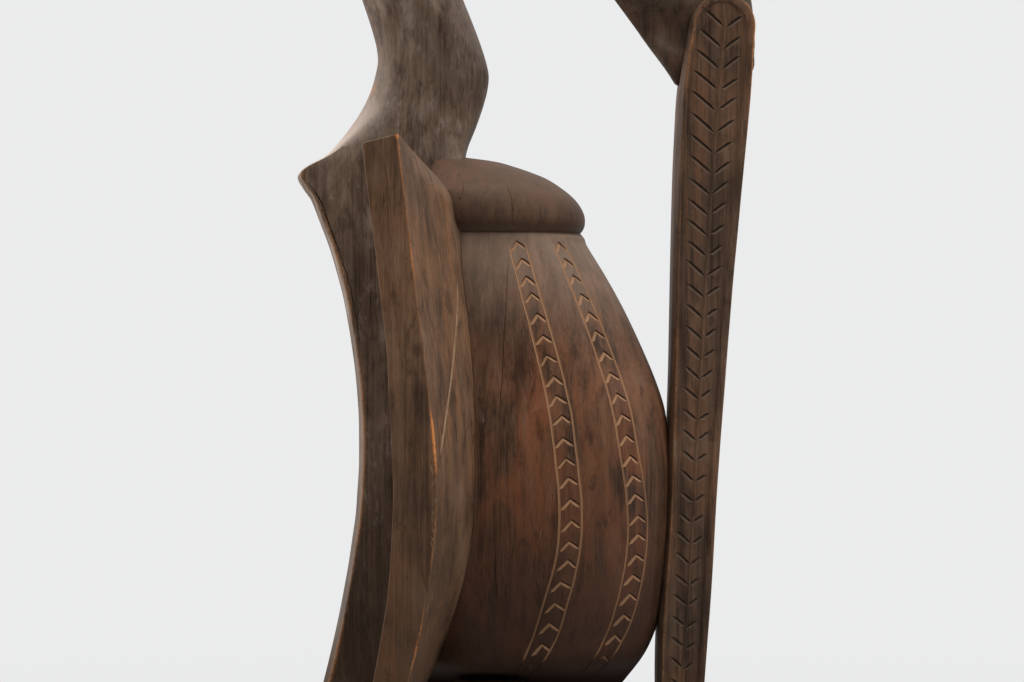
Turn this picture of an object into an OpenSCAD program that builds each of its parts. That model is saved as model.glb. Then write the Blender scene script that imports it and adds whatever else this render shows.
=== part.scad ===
// Standing hornbill figure, carved in hardwood from separate blocks that are pegged together.
// +X is the way the bird faces, +Y its left and +Z up; the origin is on the underside of the plinth.

/* [Plinth and legs] */
// Length of the plinth, front to back
plinth_l = 360; // [320:5:420]
// Width of the plinth, side to side
plinth_w = 270; // [240:5:320]
// Height of the plinth
plinth_h = 80; // [60:5:100]
// Radius of the plinth's corners
plinth_r = 70; // [30:5:100]
// Distance of each leg from the middle plane
leg_y = 52; // [46:1:60]
// Radius of the leg at its top
leg_r = 36; // [32:1:38]
// Radius of the round tenon at each end of a leg
tenon_r = 15; // [10:1:18]

/* [Body] */
// Greatest half-width of the belly
belly_w = 125; // [115:1:135]
// Half-thickness of the plank for the neck and back
back_w = 50; // [44:1:56]
// How far the back's ridge stands behind its arrises
back_roof = 8; // [4:1:14]

/* [Wings] */
// Distance of each wing's end from the middle plane
wing_y = 200; // [180:5:220]
// Distance of each wing's root from the middle plane
wing_root_y = 90; // [84:1:92]

/* [Beak] */
// Thickness of the beak, side to side
beak_t = 60; // [54:1:66]
// Thickness of the head's tongue in the beak's fork
tongue_t = 24; // [18:1:30]
// Depth of the panel in each side of the beak
panel_d = 2.5; // [1:0.5:4]
// Width of the border round the panel
panel_rim = 8; // [6:1:10]

/* [Dowels] */
// Radius of the dowels in the body
dowel_r = 7; // [5:0.5:8]
// Radius of the dowel in the neck
neck_dowel_r = 10; // [8:0.5:12]
// Radius of the dowels in the beak
beak_dowel_r = 6; // [4:0.5:7]

/* [Hidden] */
$fn = 48;

dark_wood = [0.26, 0.18, 0.13];
red_wood = [0.34, 0.21, 0.14];
grey_wood = [0.38, 0.31, 0.26];
dowel_wood = [0.62, 0.46, 0.3];

// Outlines of the carved blocks, each a smooth curve through a few points [height, place]
belly_front = [[250, 24], [258, 56], [275, 84], [299, 108], [340, 140], [400, 153], [480, 158], [560, 155],
               [600, 144], [640, 127], [680, 107], [720, 84], [736, 74], [746, 58]];
belly_half = [[250, 14], [258, 42], [275, 66], [299, 86], [340, 107], [400, 121], [460, belly_w],
              [520, belly_w], [600, belly_w - 7], [680, 110], [730, 102], [738, 98], [746, 88]];
belly_mid = [[250, 0], [299, -22], [360, -36], [420, -39], [746, -39]];
belly_depth = [[250, 12], [258, 42], [275, 62], [299, 76], [340, 78], [420, 70], [746, 60]];
collar_front = [[741, 56], [745, 67], [752, 72], [760, 73], [770, 70], [782, 61], [800, 36], [810, 10],
                [817, -14], [822, -42]];
collar_half = [[741, 88], [745, 100], [752, 106], [760, 108], [770, 107], [782, 101], [800, 80], [810, 64],
               [817, 48], [822, 22]];
collar_mid = [[741, -39], [782, -39], [800, -44], [810, -52], [822, -70]];
collar_depth = [[741, 60], [800, 52], [822, 22]];
back_rear = [[150, -221], [200, -214], [250, -202], [300, -188], [380, -170], [480, -155], [580, -154],
             [680, -168], [740, -185], [780, -201], [805, -214], [822, -188], [840, -171], [860, -156],
             [880, -144], [920, -134], [950, -140], [1000, -157]];
back_front = [[150, -206], [200, -176], [250, -140], [300, -96], [340, -60], [800, -46], [826, -46],
              [860, -33], [895, -23], [910, -24], [940, -33], [1000, -57]];
back_half = [[150, 34], [220, 40], [300, 46], [400, back_w], [800, back_w], [860, back_w - 4], [920, 43],
             [1000, 44]];
back_square = [[150, 4], [740, 4], [860, 2.4], [1000, 2.1]];
wing_front = [[190, -136], [240, -119], [290, -104], [329, -94], [385, -81], [440, -73], [505, -68.5],
              [570, -73], [640, -82], [830, -105]];
wing_rear = [[190, -164], [240, -148], [290, -135], [329, -127], [385, -117], [440, -111], [505, -108.5],
             [570, -111], [640, -115], [830, -137]];
wing_flare = [[190, 10], [290, 14], [315, 17], [355, 28], [393, 39], [431, 47], [500, 49], [564, 51],
              [640, 54], [687, 50], [740, 48], [775, 45], [800, 27], [830, 16]];
beak_rear = [[140, 171], [160, 164], [200, 154], [250, 146], [299, 144], [340, 144], [480, 153], [600, 157],
             [640, 158], [780, 161], [893, 166], [950, 175]];
beak_front = [[140, 184], [160, 184.5], [200, 185.5], [250, 187.5], [299, 190.5], [380, 196.5],
              [480, 202.5], [580, 209.5], [680, 217.5], [780, 226.5], [880, 236], [950, 241]];

// The head's stations from neck to snout: [x, z, direction in degrees, half-depth, half-width]
head_stations = [[-107, 1000, 90, 50, 44], [-106, 1040, 86, 56, 51], [-86, 1090, 60, 68, 62],
                 [-34, 1126, 22, 76, 69], [28, 1130, -8, 73, 62], [86, 1105, -28, 71, 47],
                 [130, 1059, -44, 70, 35], [168, 1002, -58, 66, 27], [190, 951, -66, 55, 24],
                 [204, 903, -74, 40, 24]];

body_top = 800;
body_bottom = 280;
joint_top_x = -80;
joint_bottom_x = -104;
joint_lean = atan((joint_top_x - joint_bottom_x) / (body_top - body_bottom));
collar_bottom = 741;
neck_foot_h = 26;
neck_top = 1000;
wing_bottom = 190;
wing_top = 828;
wing_top_drop = 34;
leg_x = -22;
leg_top = 306;
foot_h = 26;
tenon_l = 32;
beak_tip = 128;
beak_arch_z = 950;
tongue_z = 905;
panel_bottom = 196;
far = 400;

// Slope of a smooth curve through the points p at its point i
function slope(p, i) =
    let (a = max(i - 1, 0), b = min(i + 1, len(p) - 1)) (p[b][1] - p[a][1]) / (p[b][0] - p[a][0]);

// Which stretch of the points p holds height z
function stretch(p, z, i = 0) = i >= len(p) - 2 || z < p[i + 1][0] ? i : stretch(p, z, i + 1);

// Smooth curve through the points p = [[height, value], ...], read at height z
function along(p, z) =
    let (i = stretch(p, z), h = p[i + 1][0] - p[i][0], t = (z - p[i][0]) / h,
         rise = p[i + 1][1] - p[i][1], s0 = slope(p, i) * h, s1 = slope(p, i + 1) * h)
    p[i][1] + t * (s0 + t * (3 * rise - 2 * s0 - s1 + t * (s0 + s1 - 2 * rise)));

// Value v raised to power e with its sign kept
function bent(v, e) = sign(v) * pow(abs(v), e);

// Heights from a to b in n even steps
function heights(a, b, n) = [for (i = [0 : n]) a + (b - a) * i / n];

// Oval ring of a block with its widest place at x = mid, half-width w, reaching to front and back
function oval(front, mid, back, w, z, n) =
    [for (i = [0 : n - 1]) let (t = 360 * i / n, c = cos(t))
        [mid + c * (c > 0 ? front - mid : mid - back), w * sin(t), z]];

// Ring of the back and neck: a rounded box with a shallow roof along its rear
function plank_ring(z, n) =
    let (rear = along(back_rear, z), front = along(back_front, z), w = along(back_half, z),
         e = 2 / along(back_square, z), mid = (rear + front) / 2, reach = (front - rear) / 2)
    [for (i = [0 : n - 1]) let (t = 360 * i / n, c = cos(t), y = bent(sin(t), e))
        [mid + reach * bent(c, e) + (c < 0 ? back_roof * abs(y * c) : 0), w * y, z]];

// Station of the head at u, counted from the neck, with all its values between those of its neighbours
function head_station(u) =
    [for (k = [0 : 4]) along([for (i = [0 : len(head_stations) - 1]) [i, head_stations[i][k]]], u)];

// Ring of the head square to its own direction
function head_ring(s, n) =
    [for (i = [0 : n - 1]) let (t = 360 * i / n, down = s[3] * cos(t))
        [s[0] + down * sin(s[2]), s[4] * sin(t), s[1] - down * cos(s[2])]];

// Ring of a wing at the share u of its height, from its root to its end
function wing_ring(u) =
    let (root = [wing_root_y, 1, 0.45, wing_top - wing_top_drop], tip = [wing_y, 0, 0, wing_top])
    [for (c = [[root, wing_rear, 2], [root, wing_front, 1], [tip, wing_front, 1], [tip, wing_rear, 2]])
        let (z = wing_bottom + (c[0][3] - wing_bottom) * u)
        [along(c[1], z) + c[0][c[2]] * along(wing_flare, z), c[0][0], z]];

// Outline of the beak from the side, moved inwards by rim and ending at the height low
function beak_outline(rim, low) =
    let (r0 = along(beak_rear, beak_arch_z), r1 = along(beak_front, beak_arch_z), rad = (r1 - r0) / 2 - rim)
    concat([[(along(beak_rear, low) + along(beak_front, low)) / 2, low - rad / 2]],
           [for (z = heights(low + rim, beak_arch_z, 24)) [along(beak_front, z) - rim, z]],
           [for (a = [15 : 15 : 165]) [(r0 + r1) / 2 + rad * cos(a), beak_arch_z + rad * sin(a)]],
           [for (z = heights(beak_arch_z, low + rim, 24)) [along(beak_rear, z) + rim, z]]);

// Solid skinned over a stack of rings with one number of points, flat at both ends
module loft(rings) {
    n = len(rings[0]);
    m = len(rings);
    sides = [for (j = [0 : m - 2], i = [0 : n - 1]) let (a = j * n + i, b = j * n + (i + 1) % n)
             each [[a, b + n, b], [a, a + n, b + n]]];
    polyhedron(points = [for (r = rings) each r],
               faces = concat(sides, [[for (i = [0 : n - 1]) i]],
                              [[for (i = [n - 1 : -1 : 0]) (m - 1) * n + i]]));
}

// Plate of thickness t, drawn from the side and centred on the middle plane
module side_plate(t) {
    rotate([90, 0, 0]) linear_extrude(t, center = true) children();
}

// Everything in front of the joint between trunk and back, up to the neck's lap
module front_of_joint() {
    intersection() {
        translate([joint_top_x, 0, body_top]) rotate([0, joint_lean, 0]) translate([0, -far, -2 * far])
            cube([2 * far, 2 * far, 3 * far]);
        translate([-far, -far, 0]) cube([2 * far, 2 * far, body_top]);
    }
}

// Front half of the neck's foot, which is let into the collar
module neck_foot() {
    ring = plank_ring(body_top, 40);
    translate([0, 0, body_top]) linear_extrude(neck_foot_h)
        polygon([for (p = ring) if (p[0] > joint_top_x) [p[0], p[1]]]);
}

// Solid of one wing, on the bird's left
module wing_blank() {
    loft([for (u = heights(0, 1, 24)) wing_ring(u)]);
}

// Three dowels between the trunk and one wing, on the bird's left
module wing_pegs() {
    for (place = [[-76, 385], [-62, 480], [-70, 680]])
        translate([place[0], 50, place[1]]) rotate([-90, 0, 0]) cylinder(h = 76, r = dowel_r);
}

// Three dowels square to the joint between trunk and back
module back_pegs() {
    for (drop = [90, 240, 400])
        translate([joint_top_x, 0, body_top]) rotate([0, joint_lean, 0]) translate([-35, 0, -drop])
            rotate([0, 90, 0]) cylinder(h = 70, r = dowel_r);
}

module neck_peg() {
    translate([-63, 0, body_top - 35]) cylinder(h = 70, r = dowel_r);
}

module head_peg() {
    translate([-107, 0, neck_top - 40]) cylinder(h = 80, r = neck_dowel_r);
}

module beak_pegs() {
    translate([207, 0, tongue_z - 27]) cylinder(h = 54, r = beak_dowel_r);
    translate([122, 0, 470]) rotate([0, 90, 0]) cylinder(h = 62, r = beak_dowel_r);
}

// Outer block of the beak, without its fork
module beak_blank(t) {
    side_plate(t) polygon(beak_outline(0, beak_tip + 12));
}

// Tongue of the head that fills the beak's fork
module tongue() {
    intersection() {
        beak_blank(tongue_t);
        translate([0, -far, tongue_z]) cube([far, 2 * far, far]);
    }
}

// One leg with its foot and its two round tenons, on the bird's left
module leg() {
    leg_h = leg_top - plinth_h;
    translate([leg_x, leg_y, plinth_h]) {
        rotate_extrude()
            polygon([[0, 0], [leg_r - 8, 0], [leg_r - 8, foot_h], [leg_r - 12, 60], [leg_r - 10, 84],
                     [leg_r - 6, 100], [leg_r - 6, 116], [leg_r - 8, 130], [leg_r, leg_h - 60],
                     [leg_r, leg_h], [0, leg_h]]);
        linear_extrude(foot_h) {
            for (turn = [-24, 0, 24]) rotate(turn) {
                translate([0, -9]) square([72, 18]);
                translate([72, 0]) circle(9);
            }
            translate([-44, -9]) square([44, 18]);
            translate([-44, 0]) circle(9);
        }
        translate([0, 0, -tenon_l]) cylinder(h = tenon_l, r = tenon_r);
        translate([0, 0, leg_h]) cylinder(h = tenon_l, r = tenon_r);
    }
}

// Room for both legs' tenons and for their tops in the belly
module leg_sockets() {
    for (side = [-1, 1]) translate([leg_x, side * leg_y, 0]) {
        cylinder(h = leg_top, r = leg_r);
        cylinder(h = leg_top + tenon_l, r = tenon_r);
    }
}

module plinth() color(dark_wood) {
    difference() {
        linear_extrude(plinth_h) {
            square([plinth_l - 2 * plinth_r, plinth_w], center = true);
            square([plinth_l, plinth_w - 2 * plinth_r], center = true);
            for (sx = [-1, 1], sy = [-1, 1])
                translate([sx * (plinth_l / 2 - plinth_r), sy * (plinth_w / 2 - plinth_r)]) circle(plinth_r);
        }
        for (side = [-1, 1])
            translate([leg_x, side * leg_y, plinth_h - tenon_l]) cylinder(h = 2 * tenon_l, r = tenon_r);
    }
}

module left_leg() color(dark_wood) leg();

module right_leg() color(dark_wood) mirror([0, 1, 0]) leg();

module trunk() color(red_wood) {
    difference() {
        intersection() {
            union() {
                loft([for (z = concat([250, 253, 258, 266, 275, 287], heights(299, 720, 14),
                                      [730, 736, 741, 746]))
                      oval(along(belly_front, z), along(belly_mid, z),
                           along(belly_mid, z) - along(belly_depth, z), along(belly_half, z), z, 48)]);
                loft([for (z = [collar_bottom, 745, 749, 754, 760, 766, 774, 782, 791, 800, 806, 812,
                                817, 822])
                      oval(along(collar_front, z), along(collar_mid, z),
                           along(collar_mid, z) - along(collar_depth, z), along(collar_half, z), z, 48)]);
            }
            union() {
                front_of_joint();
                translate([joint_top_x, -far, body_top]) cube(2 * far);
            }
        }
        neck_foot();
        wing_blank();
        mirror([0, 1, 0]) wing_blank();
        beak_blank(beak_t);
        leg_sockets();
        wing_pegs();
        mirror([0, 1, 0]) wing_pegs();
        back_pegs();
        neck_peg();
        beak_pegs();
    }
}

module back_neck() color(grey_wood) {
    difference() {
        loft([for (z = concat(heights(150, 780, 14), [794, 800, 805, 812, 819, 826],
                              heights(836, neck_top, 10)))
              plank_ring(z, 40)]);
        front_of_joint();
        back_pegs();
        neck_peg();
        head_peg();
    }
}

module left_wing() color(dark_wood) {
    difference() {
        wing_blank();
        wing_pegs();
    }
}

module right_wing() color(dark_wood) mirror([0, 1, 0]) left_wing();

module head() color(grey_wood) {
    difference() {
        union() {
            difference() {
                loft([for (u = heights(0, len(head_stations) - 1, 27)) head_ring(head_station(u), 36)]);
                beak_blank(2 * beak_t);
            }
            tongue();
            for (side = [-1, 1]) translate([2, side * 54, 1142]) rotate([-90 * side, 0, 0]) {
                cylinder(h = 20, r = 17);
                cylinder(h = 24, r = 9);
            }
        }
        head_peg();
        beak_pegs();
    }
}

module beak() color(dark_wood) {
    difference() {
        beak_blank(beak_t);
        tongue();
        for (side = [-1, 1]) translate([0, side * (beak_t / 2), 0]) side_plate(2 * panel_d)
            polygon(beak_outline(panel_rim, panel_bottom));
        beak_pegs();
    }
}

module left_wing_dowels() color(dowel_wood) wing_pegs();

module right_wing_dowels() color(dowel_wood) mirror([0, 1, 0]) wing_pegs();

module back_dowels() color(dowel_wood) back_pegs();

module neck_dowel() color(dowel_wood) neck_peg();

module head_dowel() color(dowel_wood) head_peg();

module beak_dowels() color(dowel_wood) beak_pegs();

plinth();
left_leg();
right_leg();
trunk();
back_neck();
left_wing();
right_wing();
head();
beak();
left_wing_dowels();
right_wing_dowels();
back_dowels();
neck_dowel();
head_dowel();
beak_dowels();
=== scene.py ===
"""Standing hornbill figure in carved hardwood, dressed for rendering around its fixed CAD frame.

Each block of the figure is measured on its CAD node with callipers, wrapped in a fine skin, carved with
gouges and given a procedural wood finish. Lengths are in metres; +X is the way the bird faces, +Y its left
and +Z up.
"""

import logging
import math
import random
from contextlib import contextmanager
from dataclasses import dataclass, field
from enum import Enum
from typing import Callable, Iterator

import bpy
import numpy as np
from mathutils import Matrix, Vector, noise
from mathutils.bvhtree import BVHTree


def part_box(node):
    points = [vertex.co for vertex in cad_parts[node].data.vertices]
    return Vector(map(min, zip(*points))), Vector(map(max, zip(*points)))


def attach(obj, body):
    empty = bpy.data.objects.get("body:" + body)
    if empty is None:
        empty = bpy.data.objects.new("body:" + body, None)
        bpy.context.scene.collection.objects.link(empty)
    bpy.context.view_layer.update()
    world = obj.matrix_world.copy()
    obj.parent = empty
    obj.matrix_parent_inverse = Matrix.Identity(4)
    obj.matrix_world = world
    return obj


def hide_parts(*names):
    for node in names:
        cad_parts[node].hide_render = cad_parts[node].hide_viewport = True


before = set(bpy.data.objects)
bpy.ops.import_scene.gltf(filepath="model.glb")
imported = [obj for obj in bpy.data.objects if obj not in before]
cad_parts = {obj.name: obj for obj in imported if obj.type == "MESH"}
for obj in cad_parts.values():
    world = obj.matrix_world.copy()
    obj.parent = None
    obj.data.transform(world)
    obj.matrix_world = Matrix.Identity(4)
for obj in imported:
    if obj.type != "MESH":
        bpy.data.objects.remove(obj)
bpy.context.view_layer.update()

log = logging.getLogger("hornbill")
MM = 0.001
FAR = 1.0
SEAM = 0.742

Ring = list[Vector]
Curve = Callable[[float], float]
Triple = tuple[float, float, float]
Colour = tuple[float, float, float, float]


class Side(Enum):
    """A side of the bird, as the sign of its Y."""

    LEFT = 1
    RIGHT = -1


# ---------------------------------------------------------------- bench tools


def clamp(value: float, low: float = 0.0, high: float = 1.0) -> float:
    """Keeps value between low and high."""
    return max(low, min(high, value))


def smooth(low: float, high: float, value: float) -> float:
    """Soft step from 0 at low to 1 at high."""
    t = clamp((value - low) / (high - low))
    return t * t * (3 - 2 * t)


def bent(value: float, power: float) -> float:
    """Value raised to a power with its sign kept."""
    return math.copysign(abs(value) ** power, value)


def steps(start: float, end: float, count: int) -> list[float]:
    """Values from start to end in count even steps, both ends included."""
    return [start + (end - start) * i / count for i in range(count + 1)]


def curve_through(points: list[tuple[float, float]]) -> Curve:
    """Smooth curve through points.

    Args:
        points: pairs of place and value, with rising places.

    Returns:
        A function from place to value, which holds its end values beyond the ends.
    """
    xs = [p[0] for p in points]
    ys = [p[1] for p in points]
    last = len(points) - 1

    def slope(i: int) -> float:
        """Slope at point i, from its neighbours."""
        a, b = max(i - 1, 0), min(i + 1, last)
        return (ys[b] - ys[a]) / (xs[b] - xs[a])

    def read(x: float) -> float:
        """Value of the curve.

        Args:
            x: place on the curve.

        Returns:
            The value there.
        """
        x = clamp(x, xs[0], xs[-1])
        i = min(int(np.searchsorted(xs, x, side="right")) - 1, last - 1)
        h = xs[i + 1] - xs[i]
        t = (x - xs[i]) / h
        rise = ys[i + 1] - ys[i]
        a, b = slope(i) * h, slope(i + 1) * h
        return ys[i] + t * (a + t * (3 * rise - 2 * a - b + t * (a + b - 2 * rise)))

    return read


def only(obj: bpy.types.Object) -> None:
    """Makes a piece the only selected one, and the active one.

    Args:
        obj: the piece.
    """
    bpy.ops.object.select_all(action="DESELECT")
    obj.select_set(True)
    bpy.context.view_layer.objects.active = obj


@contextmanager
def edit(obj: bpy.types.Object, select: str = "SELECT") -> Iterator[None]:
    """Opens a piece in edit mode, and closes it again afterwards.

    Args:
        obj: the piece.
        select: SELECT to start with all of it selected, DESELECT with none.

    Returns:
        Nothing of use: the work is done inside the with block.
    """
    only(obj)
    bpy.ops.object.mode_set(mode="EDIT")
    bpy.ops.mesh.select_all(action=select)
    yield
    bpy.ops.object.mode_set(mode="OBJECT")


def apply_modifier(obj: bpy.types.Object, kind: str, **settings: object) -> None:
    """Adds a modifier to a piece and applies it at once.

    Args:
        obj: the piece.
        kind: Blender's type of the modifier.
        settings: its settings, by name.
    """
    only(obj)
    modifier = obj.modifiers.new(kind.lower(), kind)
    for key, value in settings.items():
        setattr(modifier, key, value)
    bpy.ops.object.modifier_apply(modifier=modifier.name)


def copy_of(obj: bpy.types.Object, name: str) -> bpy.types.Object:
    """Copies a piece, with a mesh of its own.

    Args:
        obj: the piece.
        name: name of the copy.

    Returns:
        The copy.
    """
    twin = obj.copy()
    twin.data = obj.data.copy()
    twin.name = name
    bpy.context.collection.objects.link(twin)
    return twin


def scrap(obj: bpy.types.Object) -> None:
    """Throws a helper away.

    Args:
        obj: the helper.
    """
    mesh = obj.data
    bpy.data.objects.remove(obj)
    bpy.data.meshes.remove(mesh)


def skin(name: str, rings: list[Ring]) -> bpy.types.Object:
    """Wraps a grid primitive round a stack of rings and closes its two ends.

    Args:
        name: name of the piece.
        rings: closed rings, all with one number of points.

    Returns:
        The closed solid, with its faces outwards.
    """
    cols, rows = len(rings[0]), len(rings)
    bpy.ops.object.select_all(action="DESELECT")
    bpy.ops.mesh.primitive_grid_add(x_subdivisions=cols, y_subdivisions=rows - 1, size=1)
    obj = bpy.context.object
    obj.name = obj.data.name = name
    co = np.array([[tuple(ring[i % cols]) for i in range(cols + 1)] for ring in rings], dtype=np.float32)
    obj.data.vertices.foreach_set("co", co.ravel())
    obj.data.update()
    with edit(obj):
        bpy.ops.mesh.remove_doubles(threshold=1e-6)
        bpy.ops.mesh.select_all(action="DESELECT")
        bpy.ops.mesh.select_non_manifold()
        bpy.ops.mesh.fill_holes(sides=0)
        bpy.ops.mesh.select_all(action="SELECT")
        bpy.ops.mesh.normals_make_consistent(inside=False)
    while obj.data.uv_layers:
        obj.data.uv_layers.remove(obj.data.uv_layers[0])
    return obj


def combine(obj: bpy.types.Object, tool: bpy.types.Object, operation: str, keep: bool = False) -> None:
    """Cuts or joins tool with obj as closed solids.

    Args:
        obj: the piece that is changed.
        tool: the other solid.
        operation: DIFFERENCE, UNION or INTERSECT.
        keep: whether tool stays afterwards.
    """
    apply_modifier(obj, "BOOLEAN", operation=operation, solver="MANIFOLD", object=tool)
    if not keep:
        scrap(tool)


def drop_pockets(obj: bpy.types.Object) -> None:
    """Drops the flat pockets, two faces on the same points, that crossing cuts may leave.

    Args:
        obj: the piece.
    """
    if obj.data.validate():
        with edit(obj, "DESELECT"):
            bpy.ops.mesh.select_non_manifold(use_wire=False, use_multi_face=False,
                                             use_non_contiguous=False, use_verts=False)
            bpy.ops.mesh.delete(type="EDGE")


def grown(obj: bpy.types.Object, gap: float) -> bpy.types.Object:
    """Makes a fuller copy of a piece, to cut a seam that can be seen.

    Args:
        obj: the piece.
        gap: how far the copy stands proud of it all round.

    Returns:
        The copy.
    """
    twin = copy_of(obj, obj.name + "_gap")
    apply_modifier(twin, "DISPLACE", strength=gap, mid_level=0.0)
    return twin


class Gauge:
    """Callipers on one CAD node."""

    def __init__(self, node: str) -> None:
        """Sets the callipers on a node.

        Args:
            node: name of the CAD node.
        """
        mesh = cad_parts[node].data
        self.low, self.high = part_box(node)
        self.tree = BVHTree.FromPolygons([v.co for v in mesh.vertices], [p.vertices for p in mesh.polygons])

    def meet(self, start: tuple[float, float, float], way: tuple[float, float, float]) -> Vector | None:
        """Where a probe from start, moving along way, first meets the node."""
        return self.tree.ray_cast(Vector(start), Vector(way).normalized())[0]

    def front(self, z: float, y: float = 0.0) -> float:
        """X of the frontmost point at height z and offset y."""
        return self.meet((FAR, y, z), (-1, 0, 0)).x

    def rear(self, z: float, y: float = 0.0) -> float:
        """X of the rearmost point at height z and offset y."""
        return self.meet((-FAR, y, z), (1, 0, 0)).x

    def half(self, z: float, x: float) -> float:
        """Half-width at height z and place x, from the bird's right."""
        return -self.meet((x, -FAR, z), (0, 1, 0)).y


@dataclass
class Gouge:
    """A set of V-shaped cuts that are made in one go."""

    surface: BVHTree
    verts: list[Vector] = field(default_factory=list)
    faces: list[tuple[int, ...]] = field(default_factory=list)

    def cut(self, path: list[Vector], width: float, depth: float, taper: float = 0.25,
            lean: float = 0.0) -> None:
        """Adds one cut along path, which is first laid on the surface.

        Args:
            path: points near the surface.
            width: width of the cut at the surface.
            depth: depth of its keel.
            taper: share of the path over which each end runs out.
            lean: how far the keel moves upwards, as a share of the width.
        """
        spots, normals = [], []
        for point in path:
            spot, normal, _, _ = self.surface.find_nearest(point)
            spots.append(spot)
            normals.append(normal)
        lengths = [0.0]
        for a, b in zip(spots, spots[1:]):
            lengths.append(lengths[-1] + (b - a).length)
        base, last = len(self.verts), len(spots) - 1
        lift = 0.6 * depth
        for i, (spot, normal) in enumerate(zip(spots, normals)):
            before, after = spots[max(i - 1, 0)], spots[min(i + 1, last)]
            along = (after - before).normalized()
            across = normal.cross(along).normalized()
            end = min(lengths[i], lengths[-1] - lengths[i]) / lengths[-1]
            size = 0.18 + 0.82 * smooth(0.0, taper, end) if taper else 1.0
            half = 0.5 * width * size * (1 + lift / depth)
            shift = lean * width * size * (1 if across.z > 0 else -1)
            self.verts += [
                spot + across * half + normal * lift,
                spot - across * half + normal * lift,
                spot + across * shift - normal * depth * size,
            ]
        for i in range(last):
            a, b = base + 3 * i, base + 3 * i + 3
            self.faces += [(a, a + 1, b + 1, b), (a + 1, a + 2, b + 2, b + 1), (a + 2, a, b, b + 2)]
        end = base + 3 * last
        self.faces += [(base, base + 2, base + 1), (end, end + 1, end + 2)]

    def carve(self, obj: bpy.types.Object) -> None:
        """Takes all the cuts out of a piece.

        Args:
            obj: the piece.
        """
        if not self.verts:
            return
        mesh = bpy.data.meshes.new("gouge")
        mesh.from_pydata(self.verts, [], self.faces)
        tool = bpy.data.objects.new("gouge", mesh)
        bpy.context.collection.objects.link(tool)
        with edit(tool):
            bpy.ops.mesh.normals_make_consistent(inside=False)
        combine(obj, tool, "DIFFERENCE")


def surface_of(obj: bpy.types.Object) -> BVHTree:
    """The outer surface of obj as it is now, to lay cuts on."""
    mesh = obj.data
    return BVHTree.FromPolygons([v.co for v in mesh.vertices], [p.vertices for p in mesh.polygons])


def waver(point: Vector, size: float, seed: float = 0.0) -> float:
    """Unevenness of a hand-carved surface at point, from -1 to 1, in swells about size long."""
    return noise.noise(point / size + Vector((seed, seed * 1.7, seed * 0.3)))


def weather(obj: bpy.types.Object, skin_before: BVHTree, gain: float = 1.0,
            rub: Callable[[Vector], float] | None = None) -> None:
    """Stores on a piece how rubbed each point is, how much painted shade its hollowness gives it, and which
    faces gouges have cut.

    Args:
        obj: the finished piece.
        skin_before: its surface before the gouge cuts.
        gain: how strongly arrises show as rubbed.
        rub: extra rubbing at a point, from 0 to 1; on the neck plank it also paints a highlight along the lit
            rear arris.
    """
    mesh = obj.data
    count = len(mesh.vertices)
    co = np.empty(count * 3, dtype=np.float32)
    mesh.vertices.foreach_get("co", co)
    co = co.reshape(-1, 3)
    normal = np.empty(count * 3, dtype=np.float32)
    mesh.vertex_normals.foreach_get("vector", normal)
    normal = normal.reshape(-1, 3)
    edges = np.empty(len(mesh.edges) * 2, dtype=np.int32)
    mesh.edges.foreach_get("vertices", edges)
    a, b = edges.reshape(-1, 2).T
    span = co[b] - co[a]
    length = np.maximum(np.linalg.norm(span, axis=1), 1e-5)
    bend = np.zeros(count)
    weight = np.zeros(count)
    np.add.at(bend, a, np.einsum("ij,ij->i", normal[a], span) / length)
    np.add.at(bend, b, -np.einsum("ij,ij->i", normal[b], span) / length)
    np.add.at(weight, a, 1.0)
    np.add.at(weight, b, 1.0)
    bend /= np.maximum(weight, 1.0)
    wear_and_highlight = np.clip(-bend * 4.0 - 0.2, 0.0, 1.0) * gain
    # Painted shade: concave points are marked for darkening, as if shadowed in their hollows.
    hollow_shade = np.clip(bend * 4.0 - 0.1, 0.0, 1.0)
    if rub is not None:
        wear_and_highlight += np.array([rub(Vector(point)) for point in co])
    cut, largest = np.zeros(len(mesh.polygons)), 0.00005
    for face in mesh.polygons:
        spot, _, _, gap = skin_before.find_nearest(face.center, 0.006)
        below = spot is None or gap > 0.00008
        cut[face.index] = 1.0 if below and face.area < largest else 0.0
    layers = (("wear_and_highlight", "POINT", np.clip(wear_and_highlight, 0, 1)), ("hollow_shade", "POINT", hollow_shade), ("cut", "FACE", cut))
    for name, domain, values in layers:
        if name in mesh.attributes:
            mesh.attributes.remove(mesh.attributes[name])
        layer = mesh.attributes.new(name, "FLOAT", domain)
        layer.data.foreach_set("value", values.astype(np.float32))


# ---------------------------------------------------------------- finishes


class Value:
    """A number in a material, as a node's output, with the usual signs for its sums."""

    def __init__(self, shop: "Shader", socket: bpy.types.NodeSocket) -> None:
        """Keeps the socket with the node tree that it is in."""
        self.shop = shop
        self.socket = socket

    def _sum(self, operation: str, one: "Value | float", two: "Value | float") -> "Value":
        """Any sum of two numbers."""
        return self.shop.node("ShaderNodeMath", {"operation": operation}, {0: one, 1: two})

    def __add__(self, other: "Value | float") -> "Value":
        """Sum."""
        return self._sum("ADD", self, other)

    __radd__ = __add__

    def __mul__(self, other: "Value | float") -> "Value":
        """Product."""
        return self._sum("MULTIPLY", self, other)

    __rmul__ = __mul__

    def __sub__(self, other: "Value | float") -> "Value":
        """Difference."""
        return self._sum("SUBTRACT", self, other)

    def step(self, low: float, high: float) -> "Value":
        """Soft step, upwards or downwards.

        Args:
            low: where the step is 0, which may be above high.
            high: where it is 1.

        Returns:
            The step, from 0 to 1.
        """
        settings = {"interpolation_type": "SMOOTHSTEP"}
        values = {"Value": self, "From Min": min(low, high), "From Max": max(low, high)}
        values |= {"To Min": 0.0 if low < high else 1.0, "To Max": 1.0 if low < high else 0.0}
        return self.shop.node("ShaderNodeMapRange", settings, values)


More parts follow.
